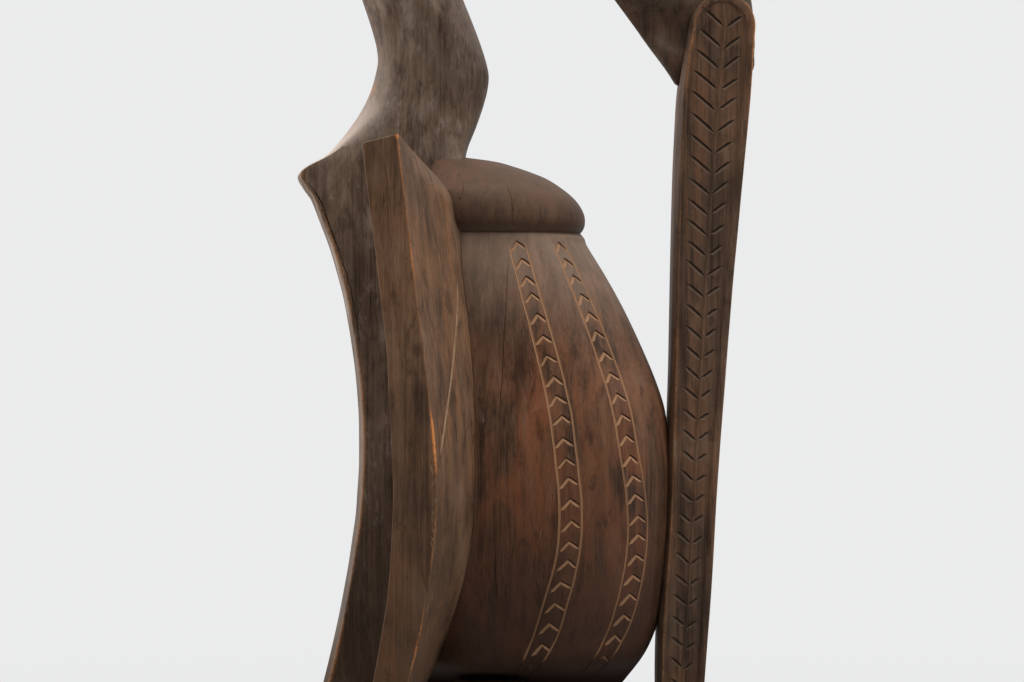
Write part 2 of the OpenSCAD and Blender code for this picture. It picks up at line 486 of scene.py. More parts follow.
class Shader:
    """The node tree of one finish."""

    def __init__(self, name: str) -> None:
        """Starts an empty material.

        Args:
            name: name of the material.
        """
        self.material = bpy.data.materials.new(name)
        self.material.use_nodes = True
        self.tree = self.material.node_tree
        self.tree.nodes.clear()
        self.out = self.tree.nodes.new("ShaderNodeOutputMaterial")

    def node(self, kind: str, settings: dict | None = None, values: dict | None = None,
             out: int | str = 0) -> Value:
        """Adds any node.

        Args:
            kind: Blender's type of the node.
            settings: its own settings, set first.
            values: what its input sockets get, by name or number: a Value, a number or a tuple.
            out: which output is returned.

        Returns:
            That output.
        """
        made = self.tree.nodes.new(kind)
        for key, value in (settings or {}).items():
            setattr(made, key, value)
        for key, value in (values or {}).items():
            if isinstance(value, Value):
                self.tree.links.new(value.socket, made.inputs[key])
            else:
                made.inputs[key].default_value = value
        return Value(self, made.outputs[out])

    def stretched(self, scale: Triple, shift: Triple = (0, 0, 0)) -> Value:
        """The piece's own coordinates, scaled along each axis."""
        place = self.node("ShaderNodeTexCoord", out="Object")
        return self.node("ShaderNodeMapping", {}, {"Vector": place, "Scale": scale, "Location": shift})

    def noise(self, scale: Triple, detail: float = 3.0, rough: float = 0.55, warp: float = 0.0,
              shift: Triple = (0, 0, 0)) -> Value:
        """Noise on the piece's own coordinates.

        Args:
            scale: cells per metre along each axis.
            detail: number of finer layers.
            rough: how strong the finer layers are.
            warp: how much it is swirled.
            shift: where in the endless pattern it starts.

        Returns:
            The noise, from 0 to 1.
        """
        values = {"Vector": self.stretched(scale, shift), "Scale": 1.0, "Detail": detail}
        values |= {"Roughness": rough, "Distortion": warp}
        return self.node("ShaderNodeTexNoise", {}, values)

    def mix(self, share: "Value | float", one: object, two: object) -> Value:
        """Colour that goes from one to two as share goes from 0 to 1."""
        return self.node("ShaderNodeMix", {"data_type": "RGBA"}, {0: share, 6: one, 7: two}, out=2)

    def stored(self, name: str) -> Value:
        """A number stored on the piece's points."""
        settings = {"attribute_name": name, "attribute_type": "GEOMETRY"}
        return self.node("ShaderNodeAttribute", settings, out="Fac")


def tint(red: float, green: float, blue: float) -> Colour:
    """Mixes a colour.

    Args:
        red: screen value from 0 to 255.
        green: the same for green.
        blue: the same for blue.

    Returns:
        The linear colour.
    """

    def linear(value: float) -> float:
        """Linear value of one screen value."""
        v = value / 255
        return v / 12.92 if v <= 0.04045 else ((v + 0.055) / 1.055) ** 2.4

    return linear(red), linear(green), linear(blue), 1.0


@dataclass
class Figure:
    """Patterns of a piece of wood, which its colour, gloss and relief share."""

    shop: Shader
    seed: float

    def __post_init__(self) -> None:
        """Lays out the patterns, each shifted by the seed."""
        shop, seed = self.shop, self.seed
        shift = (seed, seed * 0.6, seed * 0.3)
        self.fibre = shop.noise((520, 520, 11), 4.0, 0.62, 0.2, shift)
        self.streak = shop.noise((95, 95, 3.0), 4.0, 0.6, 0.4, shift)
        self.broad = shop.noise((22, 22, 3.0), 3.0, 0.55, 0.6, shift)
        self.cloud = shop.noise((8, 8, 5.0), 3.0, 0.6, 0.3, (seed + 3, 0, 1))
        self.blot = shop.noise((26, 26, 13), 4.0, 0.62, 0.4, (seed + 7, 2, 0))
        self.mottle = shop.noise((70, 70, 30), 6.0, 0.72, 0.3, (seed + 11, 0, 3))
        self.scuff = shop.noise((260, 260, 34), 3.0, 0.7, 0.8, (seed + 5, 1, 2))
        self.pore = shop.noise((1100, 1100, 60), 2.0, 0.5, 0.0, shift)
        self.speck = shop.noise((300, 300, 220), 2.0, 0.6)
        normal = shop.node("ShaderNodeNewGeometry", out="Normal")
        self.up = shop.node("ShaderNodeSeparateXYZ", {}, {0: normal}, out=2)
        place = shop.node("ShaderNodeTexCoord", out="Object")
        self.height = shop.node("ShaderNodeSeparateXYZ", {}, {0: place}, out=2)


@dataclass(frozen=True)
class WoodFinish:
    """Stained hardwood: its colours, its figure, how it has aged and the light and shade painted into it."""

    name: str
    body: Colour
    dark: Colour
    warm: Colour
    dust_and_light_tone: Colour
    # This rubbed colour is also used for the neck plank's painted highlight on its rear arris.
    rubbed: Colour = tint(158, 104, 62)
    groove: Colour = tint(176, 144, 112)
    warm_share: float = 0.5
    dust_and_top_light_share: float = 0.3
    groove_share: float = 0.8
    # Strength of the painted shade that darkens the lower parts.
    low_shade_share: float = 0.0
    # Strength of the trunk's pale top, bleaching with a painted pool of light; when set it also brings the
    # trunk's grey collar, its painted shade under the collar lip and its dark underside.
    bleach_and_top_light: float = 0.0
    rough: float = 0.56
    seed: float = 0.0

    def stained(self, figure: Figure) -> Value:
        """Stain on the wood's figure, with lighter scuffs.

        Args:
            figure: the wood's patterns.

        Returns:
            The colour.
        """
        mix, blot, cloud, streak = figure.shop.mix, figure.blot, figure.cloud, figure.streak
        grain = figure.fibre * 0.5 + streak * 0.5
        colour = mix(grain.step(0.34, 0.62) * 0.64 + blot.step(0.3, 0.7) * 0.36, self.dark, self.body)
        warmth = (cloud.step(0.40, 0.66) * 0.5 + 0.2) * blot.step(0.35, 0.6)
        warmth = warmth + figure.broad.step(0.46, 0.66) * streak.step(0.40, 0.62) * 0.6
        colour = mix(warmth * self.warm_share, colour, self.warm)
        colour = mix(cloud.step(0.46, 0.30) * 0.35, colour, self.dark)
        colour = mix(streak.step(0.36, 0.27) * 0.35, colour, self.dark)
        colour = mix(figure.pore.step(0.58, 0.72) * 0.5, colour, self.dark)
        colour = mix(figure.mottle.step(0.48, 0.34) * 0.55, colour, self.dark)
        colour = mix(figure.mottle.step(0.54, 0.72) * 0.30 * self.dust_and_top_light_share, colour, self.dust_and_light_tone)
        return mix(figure.scuff.step(0.66, 0.74) * 0.35, colour, self.dust_and_light_tone)

    def dust_and_top_light(self, figure: Figure) -> Value:
        """How thickly dust lies, with painted top light: wood facing up is painted paler, as if lit from
        above.
        """
        # Up-facing wood paled: dust with painted top light.
        lying = figure.up.step(0.05, 0.9) * (0.6 + figure.fibre * 0.5)
        return (lying + figure.blot.step(0.52, 0.78) * 0.4) * self.dust_and_top_light_share

    def soiled_and_shaded(self, figure: Figure, colour: Value, dust_and_top_light: Value) -> Value:
        """Adds dust with painted top light, painted shade towards the bottom, and on the trunk its pale top
        (bleached streaks with a painted pool of light), grey collar, painted shade under the collar lip and a
        dark underside that is dirt with painted shade.

        Args:
            figure: the wood's patterns.
            colour: the colour so far.
            dust_and_top_light: how thickly dust lies, with painted light where the wood faces up.

        Returns:
            The colour.
        """
        mix, height = figure.shop.mix, figure.height
        # Dust with painted top light.
        colour = mix(dust_and_top_light, colour, self.dust_and_light_tone)
        if self.low_shade_share:
            # Painted shade: darker towards the bottom.
            colour = mix(height.step(0.62, 0.29) * self.low_shade_share, colour, self.dark)
        if self.bleach_and_top_light:
            # Pale top below the collar: bleached streaks with a painted pool of light.
            below = height.step(SEAM + 0.010, SEAM + 0.002)
            pale_and_lit = height.step(0.62, 0.74) * (0.35 + figure.streak * 0.9) * below
            colour = mix(pale_and_lit * self.bleach_and_top_light, colour, self.dust_and_light_tone)
            # Dark underside: dirt with painted shade of the unlit underside.
            colour = mix(height.step(0.350, 0.300) * 0.65, colour, tint(16, 9, 5))
            collar = height.step(SEAM, SEAM + 0.004) * (0.1 + figure.blot * 0.8)
            colour = mix(collar, colour, tint(74, 58, 46))
            # Painted shade under the collar's overhanging lip.
            lip_shade = height.step(SEAM, SEAM + 0.002) * height.step(SEAM + 0.020, SEAM + 0.006)
            colour = mix(lip_shade * 0.6, colour, self.dark)
        return colour

    def worked_and_shaded(self, figure: Figure, colour: Value) -> Value:
        """Adds painted shade in the hollows, rubbed arrises (on the neck plank partly a painted highlight)
        and pale cuts; the cuts' up-facing walls are painted lit, their down-facing walls painted in shadow,
        and lower cuts painted dimmer.

        Args:
            figure: the wood's patterns.
            colour: the colour so far.

        Returns:
            The colour.
        """
        shop, up = figure.shop, figure.up
        hollow_shade, wear_and_highlight, cut = shop.stored("hollow_shade"), shop.stored("wear_and_highlight"), shop.stored("cut")
        # Painted shade in the hollows.
        colour = shop.mix(hollow_shade * 0.5, colour, self.dark)
        rub = wear_and_highlight * (figure.streak.step(0.25, 0.6) * 0.6 + figure.speck.step(0.3, 0.6) * 0.4)
        colour = shop.mix(rub.step(0.08, 0.8) * 0.9, colour, self.rubbed)
        # Pale cut colour, painted brighter on walls that face up, as if lit, and dimmer lower down as painted
        # shade.
        light = up.step(-0.6, 0.2) * self.groove_share * (0.65 + figure.blot * 0.5)
        light = light * (figure.height.step(0.27, 0.60) * 0.6 + 0.4)
        # Painted shadow on cut walls that face down.
        colour = shop.mix(cut * up.step(0.0, -0.3) * 0.8, colour, self.dark)
        return shop.mix(cut * light, colour, self.groove)

    def make(self) -> bpy.types.Material:
        """Builds the material.

        Returns:
            The material, with the finish's name.
        """
        shop = Shader(self.name)
        figure = Figure(shop, self.seed)
        dust_and_top_light = self.dust_and_top_light(figure)
        colour = self.worked_and_shaded(figure, self.soiled_and_shaded(figure, self.stained(figure), dust_and_top_light))
        rough = figure.fibre * 0.2 + figure.cloud * 0.15 + (self.rough - 0.16) + dust_and_top_light * 0.25
        rough = rough + figure.height.step(0.36, 0.30) * 0.4
        relief = figure.fibre * 0.45 + figure.streak * 0.4 - figure.pore.step(0.58, 0.72) * 0.5
        relief = relief + figure.speck * 0.25 + figure.blot * 0.3
        normal = shop.node("ShaderNodeBump", {}, {"Strength": 0.42, "Distance": 0.0007, "Height": relief})
        values = {"Base Color": colour, "Roughness": rough, "Normal": normal}
        values |= {"Specular IOR Level": 0.1, "IOR": 1.46}
        surface = shop.node("ShaderNodeBsdfPrincipled", {}, values)
        shop.tree.links.new(surface.socket, shop.out.inputs["Surface"])
        return shop.material


TRUNK_WOOD = WoodFinish(
    "trunk_wood", body=tint(102, 75, 56), dark=tint(36, 20, 11), warm=tint(118, 66, 38),
    dust_and_light_tone=tint(140, 120, 104), groove=tint(172, 130, 95), warm_share=0.75, dust_and_top_light_share=0.3,
    low_shade_share=0.95, bleach_and_top_light=0.6)
NECK_WOOD = WoodFinish(
    "neck_wood", body=tint(110, 91, 76), dark=tint(46, 32, 22), warm=tint(104, 76, 54),
    dust_and_light_tone=tint(170, 154, 142), warm_share=0.3, dust_and_top_light_share=1.0, low_shade_share=0.8, seed=4.1)
WING_WOOD = WoodFinish(
    "wing_wood", body=tint(108, 82, 62), dark=tint(48, 33, 23), warm=tint(118, 76, 45),
    dust_and_light_tone=tint(138, 120, 104), rubbed=tint(188, 118, 64), groove=tint(158, 128, 100), warm_share=0.6,
    dust_and_top_light_share=0.4, low_shade_share=0.7, seed=7.7)
BEAK_WOOD = WoodFinish(
    "beak_wood", body=tint(106, 83, 66), dark=tint(42, 31, 24), warm=tint(112, 72, 46),
    dust_and_light_tone=tint(130, 114, 102), rubbed=tint(190, 130, 76), groove=tint(112, 94, 80), warm_share=0.5,
    dust_and_top_light_share=0.35, groove_share=0.6, low_shade_share=0.3, seed=12.3)
HEAD_WOOD = WoodFinish(
    "head_wood", body=tint(86, 69, 56), dark=tint(44, 34, 27), warm=tint(98, 66, 44),
    dust_and_light_tone=tint(134, 118, 106), groove=tint(128, 106, 86), warm_share=0.35, dust_and_top_light_share=0.5,
    groove_share=0.4, seed=16.9)
BASE_WOOD = WoodFinish(
    "base_wood", body=tint(82, 62, 49), dark=tint(42, 31, 24), warm=tint(98, 66, 44),
    dust_and_light_tone=tint(128, 114, 102), groove=tint(120, 98, 80), warm_share=0.4, dust_and_top_light_share=0.5,
    groove_share=0.4, seed=21.5)
DOWEL_WOOD = WoodFinish(
    "dowel_wood", body=tint(122, 94, 70), dark=tint(84, 62, 44), warm=tint(130, 92, 60),
    dust_and_light_tone=tint(150, 128, 106), warm_share=0.3, dust_and_top_light_share=0.1, seed=25.2)


def dress(obj: bpy.types.Object, finish: WoodFinish, slot: str, *nodes: str) -> None:
    """Finishes a piece: smooth shading, its material, its CAD nodes and the body it rides on.

    Args:
        obj: the piece.
        finish: its wood finish.
        slot: not used.
        nodes: CAD nodes that it takes the place of.
    """
    only(obj)
    bpy.ops.object.shade_smooth_by_angle(angle=math.radians(32))
    obj.data.materials.clear()
    obj.data.materials.append(bpy.data.materials.get(finish.name) or finish.make())
    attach(obj, "root")
    if nodes:
        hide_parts(*nodes)
    log.info("%s: %d points, %d faces", obj.name, len(obj.data.vertices), len(obj.data.polygons))


# ---------------------------------------------------------------- the figure's blocks


@dataclass
class BackNeck:
    """The thick plank that makes the neck, the pointed shoulder, the concave back and the tail."""

    rows: int = 330
    cols: int = 30
    roof: float = 0.008
    cracks: tuple[tuple[float, ...], ...] = ((0.797, 0.085, 0.0115, 0.0016), (0.735, 0.11, 0.0125, 0.0010))
    obj: bpy.types.Object | None = None

    def section(self, rear: float, front: float, half: float, soft: float) -> list[tuple[float, float]]:
        """One half of a cross-section, from the ridge at the rear to the middle of the front.

        Args:
            rear: X of the ridge.
            front: X of the front.
            half: half-width.
            soft: 0 for a squared plank with a roofed rear, 1 for an oval.

        Returns:
            Pairs of X and Y.
        """
        roof, ease = self.roof, min(0.004, 0.3 * half)
        corners = [(rear, 0.0), (rear + roof - 0.0006, half - 0.0012), (rear + roof + 0.0008, half),
                   (front - ease, half), (front - 0.3 * ease, half - 0.3 * ease), (front, half - ease),
                   (front, 0.0)]
        counts = [7, 2, self.cols - 9 - 7, 2, 2, 5]
        box = []
        for (x0, y0), (x1, y1), count in zip(corners, corners[1:], counts):
            box += [(x0 + (x1 - x0) * k / count, y0 + (y1 - y0) * k / count) for k in range(count)]
        box.append(corners[-1])
        points = []
        for i, (x, y) in enumerate(box):
            turn = math.pi * (1 - i / (len(box) - 1))
            round_x = 0.5 * (rear + front) + 0.5 * (front - rear) * math.cos(turn)
            round_y = half * math.sin(turn)
            points.append((x + (round_x - x) * soft, y + (round_y - y) * soft))
        return points

    def build(self) -> bpy.types.Object:
        """Skins the plank and opens its drying cracks.

        Returns:
            The finished piece.
        """
        gauge = Gauge("back_neck")
        low, high = gauge.low[2] + 0.0002, gauge.high[2] - 0.0002
        heights = steps(low, 0.780, 26) + [0.790, 0.800, 0.8055, 0.811, 0.818, 0.825]
        heights += steps(0.836, high, 12)
        rears = [(z, gauge.rear(z)) for z in heights]
        fronts = [(z, gauge.front(z, 0.02 if z < 0.8 else 0.0)) for z in heights]
        rear, front = curve_through(rears), curve_through(fronts)
        half = curve_through([(z, gauge.half(z, rear(z) * 0.5 + front(z) * 0.5)) for z in heights])
        rings = []
        zs = steps(low, 0.780, self.rows) + steps(0.7815, 0.83, 40) + steps(0.832, high, 90)
        for z in zs:
            outline = self.section(rear(z), front(z), half(z), smooth(0.800, 0.880, z) * 0.98)
            ring = [Vector((x, -y, z)) for x, y in outline]
            ring += [Vector((x, y, z)) for x, y in outline[-2:0:-1]]
            for point in ring:
                valley = smooth(0.075, 0.0, abs(z - 0.850)) * math.exp(-(((point.x + 0.071) / 0.012) ** 2))
                brow = smooth(0.03, 0.0, abs(z - 0.888)) * math.exp(-(((point.x + 0.030) / 0.020) ** 2))
                point.y *= 1 - 0.075 * valley + 0.03 * brow
                point.y += 0.0006 * waver(point, 0.05) * (1 if point.y > 0 else -1)
            rings.append(ring)
        self.obj = skin("back_neck_block", rings)
        before = surface_of(self.obj)
        gouge = Gouge(before)
        rand = random.Random(11)
        for side in Side:
            for start, length, inset, width in self.cracks:
                path = []
                for k in range(16):
                    z = start - length * k / 15
                    x = rear(z) + inset + rand.uniform(-0.0005, 0.0005)
                    path.append(Vector((x, side.value * half(z), z)))
                gouge.cut(path, width, 0.005)
        gouge.carve(self.obj)

        def rub(point: Vector) -> float:
            """Rubbing along the plank's rear arrises, partly a painted highlight of the rear strip lit from
            the left, and rubbing on the nape.

            Args:
                point: a point of the plank.

            Returns:
                The rubbing there.
            """
            off_ridge, off_nape = point.x - rear(point.z) - self.roof, point.z - 0.888
            on_ridge = point.z < 0.81 and abs(point.y) > 0.03
            on_nape = point.x < -0.132 and abs(point.y) < 0.03
            # Rear arris: wear with a painted highlight of the strip lit from the left.
            edge = math.exp(-((off_ridge / 0.0022) ** 2)) if on_ridge else 0.0
            spot = math.exp(-((off_nape / 0.012) ** 2)) if on_nape else 0.0
            return 0.35 * edge + 0.45 * spot

        weather(self.obj, before, 0.3, rub)
        dress(self.obj, NECK_WOOD, "grey_wood", "back_neck")
        return self.obj


@dataclass
class Wing:
    """A plank wing, let into the side of the trunk."""

    side: Side
    rows: int = 150
    arris: float = 0.0014
    top_drop: float = 0.008
    checks: tuple[tuple[float, ...], ...] = ((0.80, 0.05, 0.55), (0.70, 0.06, 0.35), (0.535, 0.05, 0.78),
                                             (0.33, 0.07, 0.4))
    scratches: tuple[tuple[float, float], ...] = ((0.0, 0.0024), (0.0032, 0.0013))
    nicks: int = 16
    obj: bpy.types.Object | None = None

    def outline(self, gauge: Gauge, y: float) -> tuple[Curve, Curve, float, float]:
        """Measures the wing's outline.

        Args:
            gauge: callipers on the wing.
            y: offset at which it is measured.

        Returns:
            Its rear and front curves, its lowest and its highest place.
        """
        x = 0.5 * (gauge.rear(0.5, y) + gauge.front(0.5, y))
        tops = [gauge.meet((x + MM * k, y, FAR), (0, 0, -1)) for k in range(-60, 61)]
        low, high = gauge.low[2] + 0.0002, max(hit.z for hit in tops if hit is not None) - 0.0002
        heights = steps(low, high, 26)
        rear = curve_through([(z, gauge.rear(z, y)) for z in heights])
        front = curve_through([(z, gauge.front(z, y)) for z in heights])
        return rear, front, low, high

    def ring(self, root: tuple, tip: tuple, share: float, y: float, inset: float) -> Ring:
        """Draws one outline of the plank.

        Args:
            root: outline at the trunk, as measured.
            tip: outline at the end face, as measured.
            share: how far the outline is from root to tip, from 0 to 1.
            y: its offset.
            inset: how far it is moved inwards.

        Returns:
            The outline.
        """
        ring = []
        drop = self.top_drop * share
        inset_z = min(inset, 0.012)

        def place(t: float, across: float) -> Vector:
            """Point of the outline.

            Args:
                t: share of the way up.
                across: share of the way from the rear to the front.

            Returns:
                The point, with its hand-carved unevenness.
            """
            z_root = root[2] + (root[3] - root[2]) * t
            z_tip = tip[2] + (tip[3] - tip[2]) * t
            rear = root[0](z_root) * (1 - share) + tip[0](z_tip) * share
            front = root[1](z_root) * (1 - share) + tip[1](z_tip) * share
            middle = 0.5 * (rear + front)
            rear, front = min(rear + inset, middle), max(front - inset, middle)
            low = root[2] * (1 - share) + tip[2] * share + inset_z
            high = root[3] * (1 - share) + tip[3] * share - inset_z - drop * (1 - across)
            point = Vector((rear + (front - rear) * across, y, low + (high - low) * t))
            point.x += 0.0007 * waver(point, 0.06, self.side.value) + 0.0003 * waver(point, 0.02, 3)
            return point

        ring += [place(t, 0.0) for t in steps(0, 1, self.rows)]
        ring += [place(1.0, across) for across in steps(0.1, 0.9, 8)]
        ring += [place(t, 1.0) for t in steps(1, 0, self.rows)]
        ring += [place(0.0, across) for across in steps(0.9, 0.1, 8)]
        return ring

    def build(self) -> bpy.types.Object:
        """Skins the plank from its root to its end face.

        Returns:
            The finished piece.
        """
        node = f"{self.side.name.lower()}_wing"
        gauge = Gauge(node)
        sign = self.side.value
        inner, outer = 0.0903, abs(gauge.high[1] if sign > 0 else gauge.low[1])
        root, tip = self.outline(gauge, inner * sign), self.outline(gauge, (outer - 0.0005) * sign)
        rings = []
        for share in steps(0, 0.97, 34):
            rings.append(self.ring(root, tip, share, (inner + (outer - inner) * share) * sign, 0.0))
        for turn in (0, 30, 60, 90):
            c, s = math.cos(math.radians(turn)), math.sin(math.radians(turn))
            y = outer - self.arris * (1 - s)
            rings.append(self.ring(root, tip, (y - inner) / (outer - inner), y * sign, self.arris * (1 - c)))
        for inset in (0.0022, 0.0036, 0.006, 0.009, 0.0125):
            rings.append(self.ring(root, tip, 1.0, outer * sign, inset))
        self.obj = skin(f"{node}_plank", rings)
        before = surface_of(self.obj)
        self.score(before, tip, outer * sign)
        drop_pockets(self.obj)
        front, tip_top = tip[1], tip[3]

        def rub(point: Vector) -> float:
            """Rubbing along the end face's front arris and its top.

            Args:
                point: a point of the plank.

            Returns:
                The rubbing there.
            """
            z = point.z
            gap = math.hypot(point.x - front(z), abs(point.y) - outer)
            patch = 0.30 + 0.5 * waver(Vector((0, 0, z)), 0.05, 2)
            patch += 0.9 * math.exp(-(((z - 0.548) / 0.022) ** 2))
            edge = math.exp(-((gap / 0.0019) ** 2)) * clamp(patch, 0.25, 1.0)
            top = math.exp(-(((z - tip_top) / 0.003) ** 2)) * clamp(0.3 + waver(point, 0.012, 4)) * 0.6
            return edge + top

        weather(self.obj, before, 0.25, rub)
        dress(self.obj, WING_WOOD, "dark_wood", node)
        return self.obj

    def score(self, before: BVHTree, tip: tuple, y: float) -> None:
        """Cuts the end face's drying checks, two long scratches down its front and its nicked arris.

        Args:
            before: the plank's surface.
            tip: outline at the end face, as measured.
            y: offset of the end face.
        """
        gouge = Gouge(before)
        rand = random.Random(5)
        rear, front = tip[0], tip[1]
        for start, length, share in self.checks:
            path = []
            for k in range(12):
                z = start - length * k / 11
                x = rear(z) * (1 - share) + front(z) * share + rand.uniform(-0.0004, 0.0004)
                path.append(Vector((x, y, z)))
            gouge.cut(path, 0.0006, 0.0016)
        for shift, width in self.scratches:
            path = []
            for t in steps(0, 1, 24):
                z = 0.712 - 0.190 * t - shift
                out = 0.60 + 0.392 * t ** 1.3
                path.append(Vector((front(z) + 0.05 * (1 - t), y * out, z)))
            gouge.cut(path, width, 0.0007, taper=0.2)
        gouge.carve(self.obj)
        for _ in range(self.nicks):
            nick = Gouge(before)
            z = rand.uniform(0.455, 0.535)
            reach = rand.uniform(0.004, 0.011)
            place = front(z) - rand.uniform(0.0005, 0.0042)
            path = []
            for t in steps(0, 1, 4):
                path.append(Vector((place + rand.uniform(-0.0006, 0.0006), y, z + reach * (t - 0.5))))
            nick.cut(path, rand.uniform(0.0010, 0.0020), 0.0012, taper=0.4)
            nick.carve(self.obj)


@dataclass
class Band:
    """One incised band down the belly, between two lines of height and share of the belly's reach."""

    rear_line: list[tuple[float, float]]
    front_line: list[tuple[float, float]]
    bottom: float = 0.300
    top: float = 0.738

    def place(self, z: float, across: float) -> float:
        """Place in the band, as a share of the belly's reach.

        Args:
            z: height.
            across: 0 at the rear line and 1 at the front one.

        Returns:
            The share.
        """
        rear, front = curve_through(self.rear_line)(z), curve_through(self.front_line)(z)
        return rear + (front - rear) * across


BANDS = (
    Band(
        rear_line=[(0.30, 0.15), (0.32, 0.206), (0.354, 0.30), (0.398, 0.371), (0.441, 0.421), (0.488, 0.427),
                   (0.545, 0.402), (0.649, 0.355), (0.713, 0.321), (0.742, 0.302)],
        front_line=[(0.30, 0.25), (0.319, 0.312), (0.354, 0.428), (0.397, 0.491), (0.44, 0.531),
                    (0.483, 0.537), (0.545, 0.508), (0.65, 0.472), (0.702, 0.456), (0.742, 0.449)]),
    Band(
        rear_line=[(0.30, 0.59), (0.35, 0.69), (0.391, 0.738), (0.447, 0.770), (0.489, 0.758),
                   (0.544, 0.722), (0.60, 0.703), (0.66, 0.692), (0.742, 0.682)],
        front_line=[(0.30, 0.70), (0.35, 0.80), (0.391, 0.848), (0.447, 0.872), (0.489, 0.856),
                    (0.543, 0.815), (0.60, 0.798), (0.66, 0.790), (0.742, 0.783)],
        bottom=0.315),
)


@dataclass
class Trunk:
    """The swollen belly and the collar that overhangs it, one block."""

    mid: float = -0.039
    rows: int = 220
    cols: int = 230
    rung_step: float = 0.0196
    cracks: tuple[tuple[float, ...], ...] = (
        (-0.002, 0.002, 0.806, 0.745, 0.0009), (-0.046, -0.002, 0.800, 0.745, 0.0009),
        (-0.001, -0.012, 0.737, 0.545, 0.0007), (-0.018, 0.004, 0.50, 0.38, 0.0006))
    obj: bpy.types.Object | None = None

    def _rings(self, zs: list[float], front: Curve, half: Curve, mid: Curve, depth: Curve,
               seed: float) -> list[Ring]:
        """Draws the oval rings of a block.

        Args:
            zs: their heights.
            front: X of the frontmost point, by height.
            half: half-width, by height.
            mid: X of the widest place, by height.
            depth: reach behind the widest place, by height.
            seed: picks the hand-carved unevenness.

        Returns:
            The rings.
        """
        rings = []
        for z in zs:
            ring = []
            for i in range(self.cols):
                turn = math.tau * i / self.cols
                c = math.cos(turn)
                reach = front(z) - mid(z) if c > 0 else depth(z)
                point = Vector((mid(z) + c * reach, half(z) * math.sin(turn), z))
                out = Vector((c, math.sin(turn), 0))
                ring.append(point + out * 0.0007 * waver(point, 0.07, seed))
            rings.append(ring)
        return rings

    def belly(self, gauge: Gauge) -> bpy.types.Object:
        """Skins the belly, up into the collar.

        Args:
            gauge: callipers on the trunk.

        Returns:
            The solid.
        """
        low = gauge.low[2] + 0.0003
        zs = [low, low + 0.003, low + 0.008, low + 0.016, low + 0.026, low + 0.038]
        zs += steps(low + 0.05, 0.735, 16)
        halves = [(z, gauge.half(z, self.mid + 0.006)) for z in zs[4:]]
        side = [(zs[0], 0.014), (zs[1], 0.028), (zs[2], 0.045), (zs[3], 0.058)] + halves
        half = curve_through(side + [(0.741, side[-1][1] - 0.002), (0.746, side[-1][1] - 0.005)])
        fronts = []
        for z in zs:
            y = 0.034 if half(z) > 0.06 else 0.004
            share = math.sqrt(1 - (y / half(z)) ** 2)
            fronts.append((z, self.mid + (gauge.front(z, y) - self.mid) / share))
        front = curve_through(fronts + [(0.741, fronts[-1][1] - 0.002), (0.746, fronts[-1][1] - 0.006)])
        mid = curve_through([(low, 0.0), (0.299, -0.022), (0.36, -0.036), (0.42, self.mid), (0.75, self.mid)])
        depth = curve_through([(low, 0.012), (0.258, 0.042), (0.275, 0.062), (0.299, 0.076), (0.42, 0.07),
                               (0.75, 0.06)])
        rows = [low + (0.746 - low) * (1 - math.cos(math.pi * t)) / 2 for t in steps(0, 1, self.rows)]
        self.half, self.front, self.centre = half, front, mid
        return skin("trunk_block", self._rings(rows, front, half, mid, depth, 1.0))

    def collar(self, gauge: Gauge) -> bpy.types.Object:
        """Skins the collar.

        Args:
            gauge: callipers on the trunk.

        Returns:
            The solid.
        """
        zs = [0.7425, 0.745, 0.749, 0.754, 0.760, 0.766, 0.774, 0.782, 0.791, 0.800, 0.806, 0.812, 0.817]
        mid = curve_through([(0.741, self.mid), (0.782, self.mid), (0.80, -0.044), (0.81, -0.052),
                             (0.822, -0.07)])
        depth = curve_through([(0.741, 0.06), (0.80, 0.052), (0.822, 0.022)])
        fronts = [(z, gauge.front(z)) for z in zs]
        halves = [(z, gauge.half(z, -0.033 if z < 0.796 else mid(z))) for z in zs]
        front = curve_through([(0.7405, fronts[0][1] - 0.009)] + fronts + [(0.8215, -0.046)])
        half = curve_through([(0.7405, halves[0][1] - 0.009)] + halves + [(0.8215, 0.03)])
        rows = [0.7405 + 0.081 * t for t in steps(0, 1, 64)]
        return skin("collar_block", self._rings(rows, front, half, mid, depth, 2.0))

    def build(self, neighbours: list[bpy.types.Object]) -> bpy.types.Object:
        """Makes the block, cuts its housings, its bands and its cracks.

        Args:
            neighbours: pieces that it makes room for.

        Returns:
            The finished piece.
        """
        gauge = Gauge("trunk")
        self.obj = self.belly(gauge)
        combine(self.obj, self.collar(gauge), "UNION")
        top, bottom = gauge.rear(0.79), gauge.rear(0.32)
        lean = Vector((bottom - top, 0, 0.32 - 0.79)).normalized()
        with edit(self.obj):
            bpy.ops.mesh.bisect(plane_co=(top, 0, 0.79), plane_no=(lean.z, 0, -lean.x), use_fill=True,
                                clear_outer=True, clear_inner=False)
        for block in neighbours:
            combine(self.obj, grown(block, 0.0004), "DIFFERENCE")
        before = surface_of(self.obj)
        self.carve_lines(before)
        self.carve_rungs(before)
        self.open_cracks(before)
        weather(self.obj, before, 0.25)
        dress(self.obj, TRUNK_WOOD, "red_wood", "trunk")
        return self.obj

    def spot(self, z: float, share: float, side: Side) -> Vector:
        """Finds a place on the belly.

        Args:
            z: height.
            share: share of the way from the widest place to the front.
            side: side of the bird.

        Returns:
            The point.
        """
        turn = math.acos(clamp(share, 0.0, 0.999))
        reach = self.front(z) - self.centre(z)
        return Vector((self.centre(z) + reach * share, side.value * self.half(z) * math.sin(turn), z))

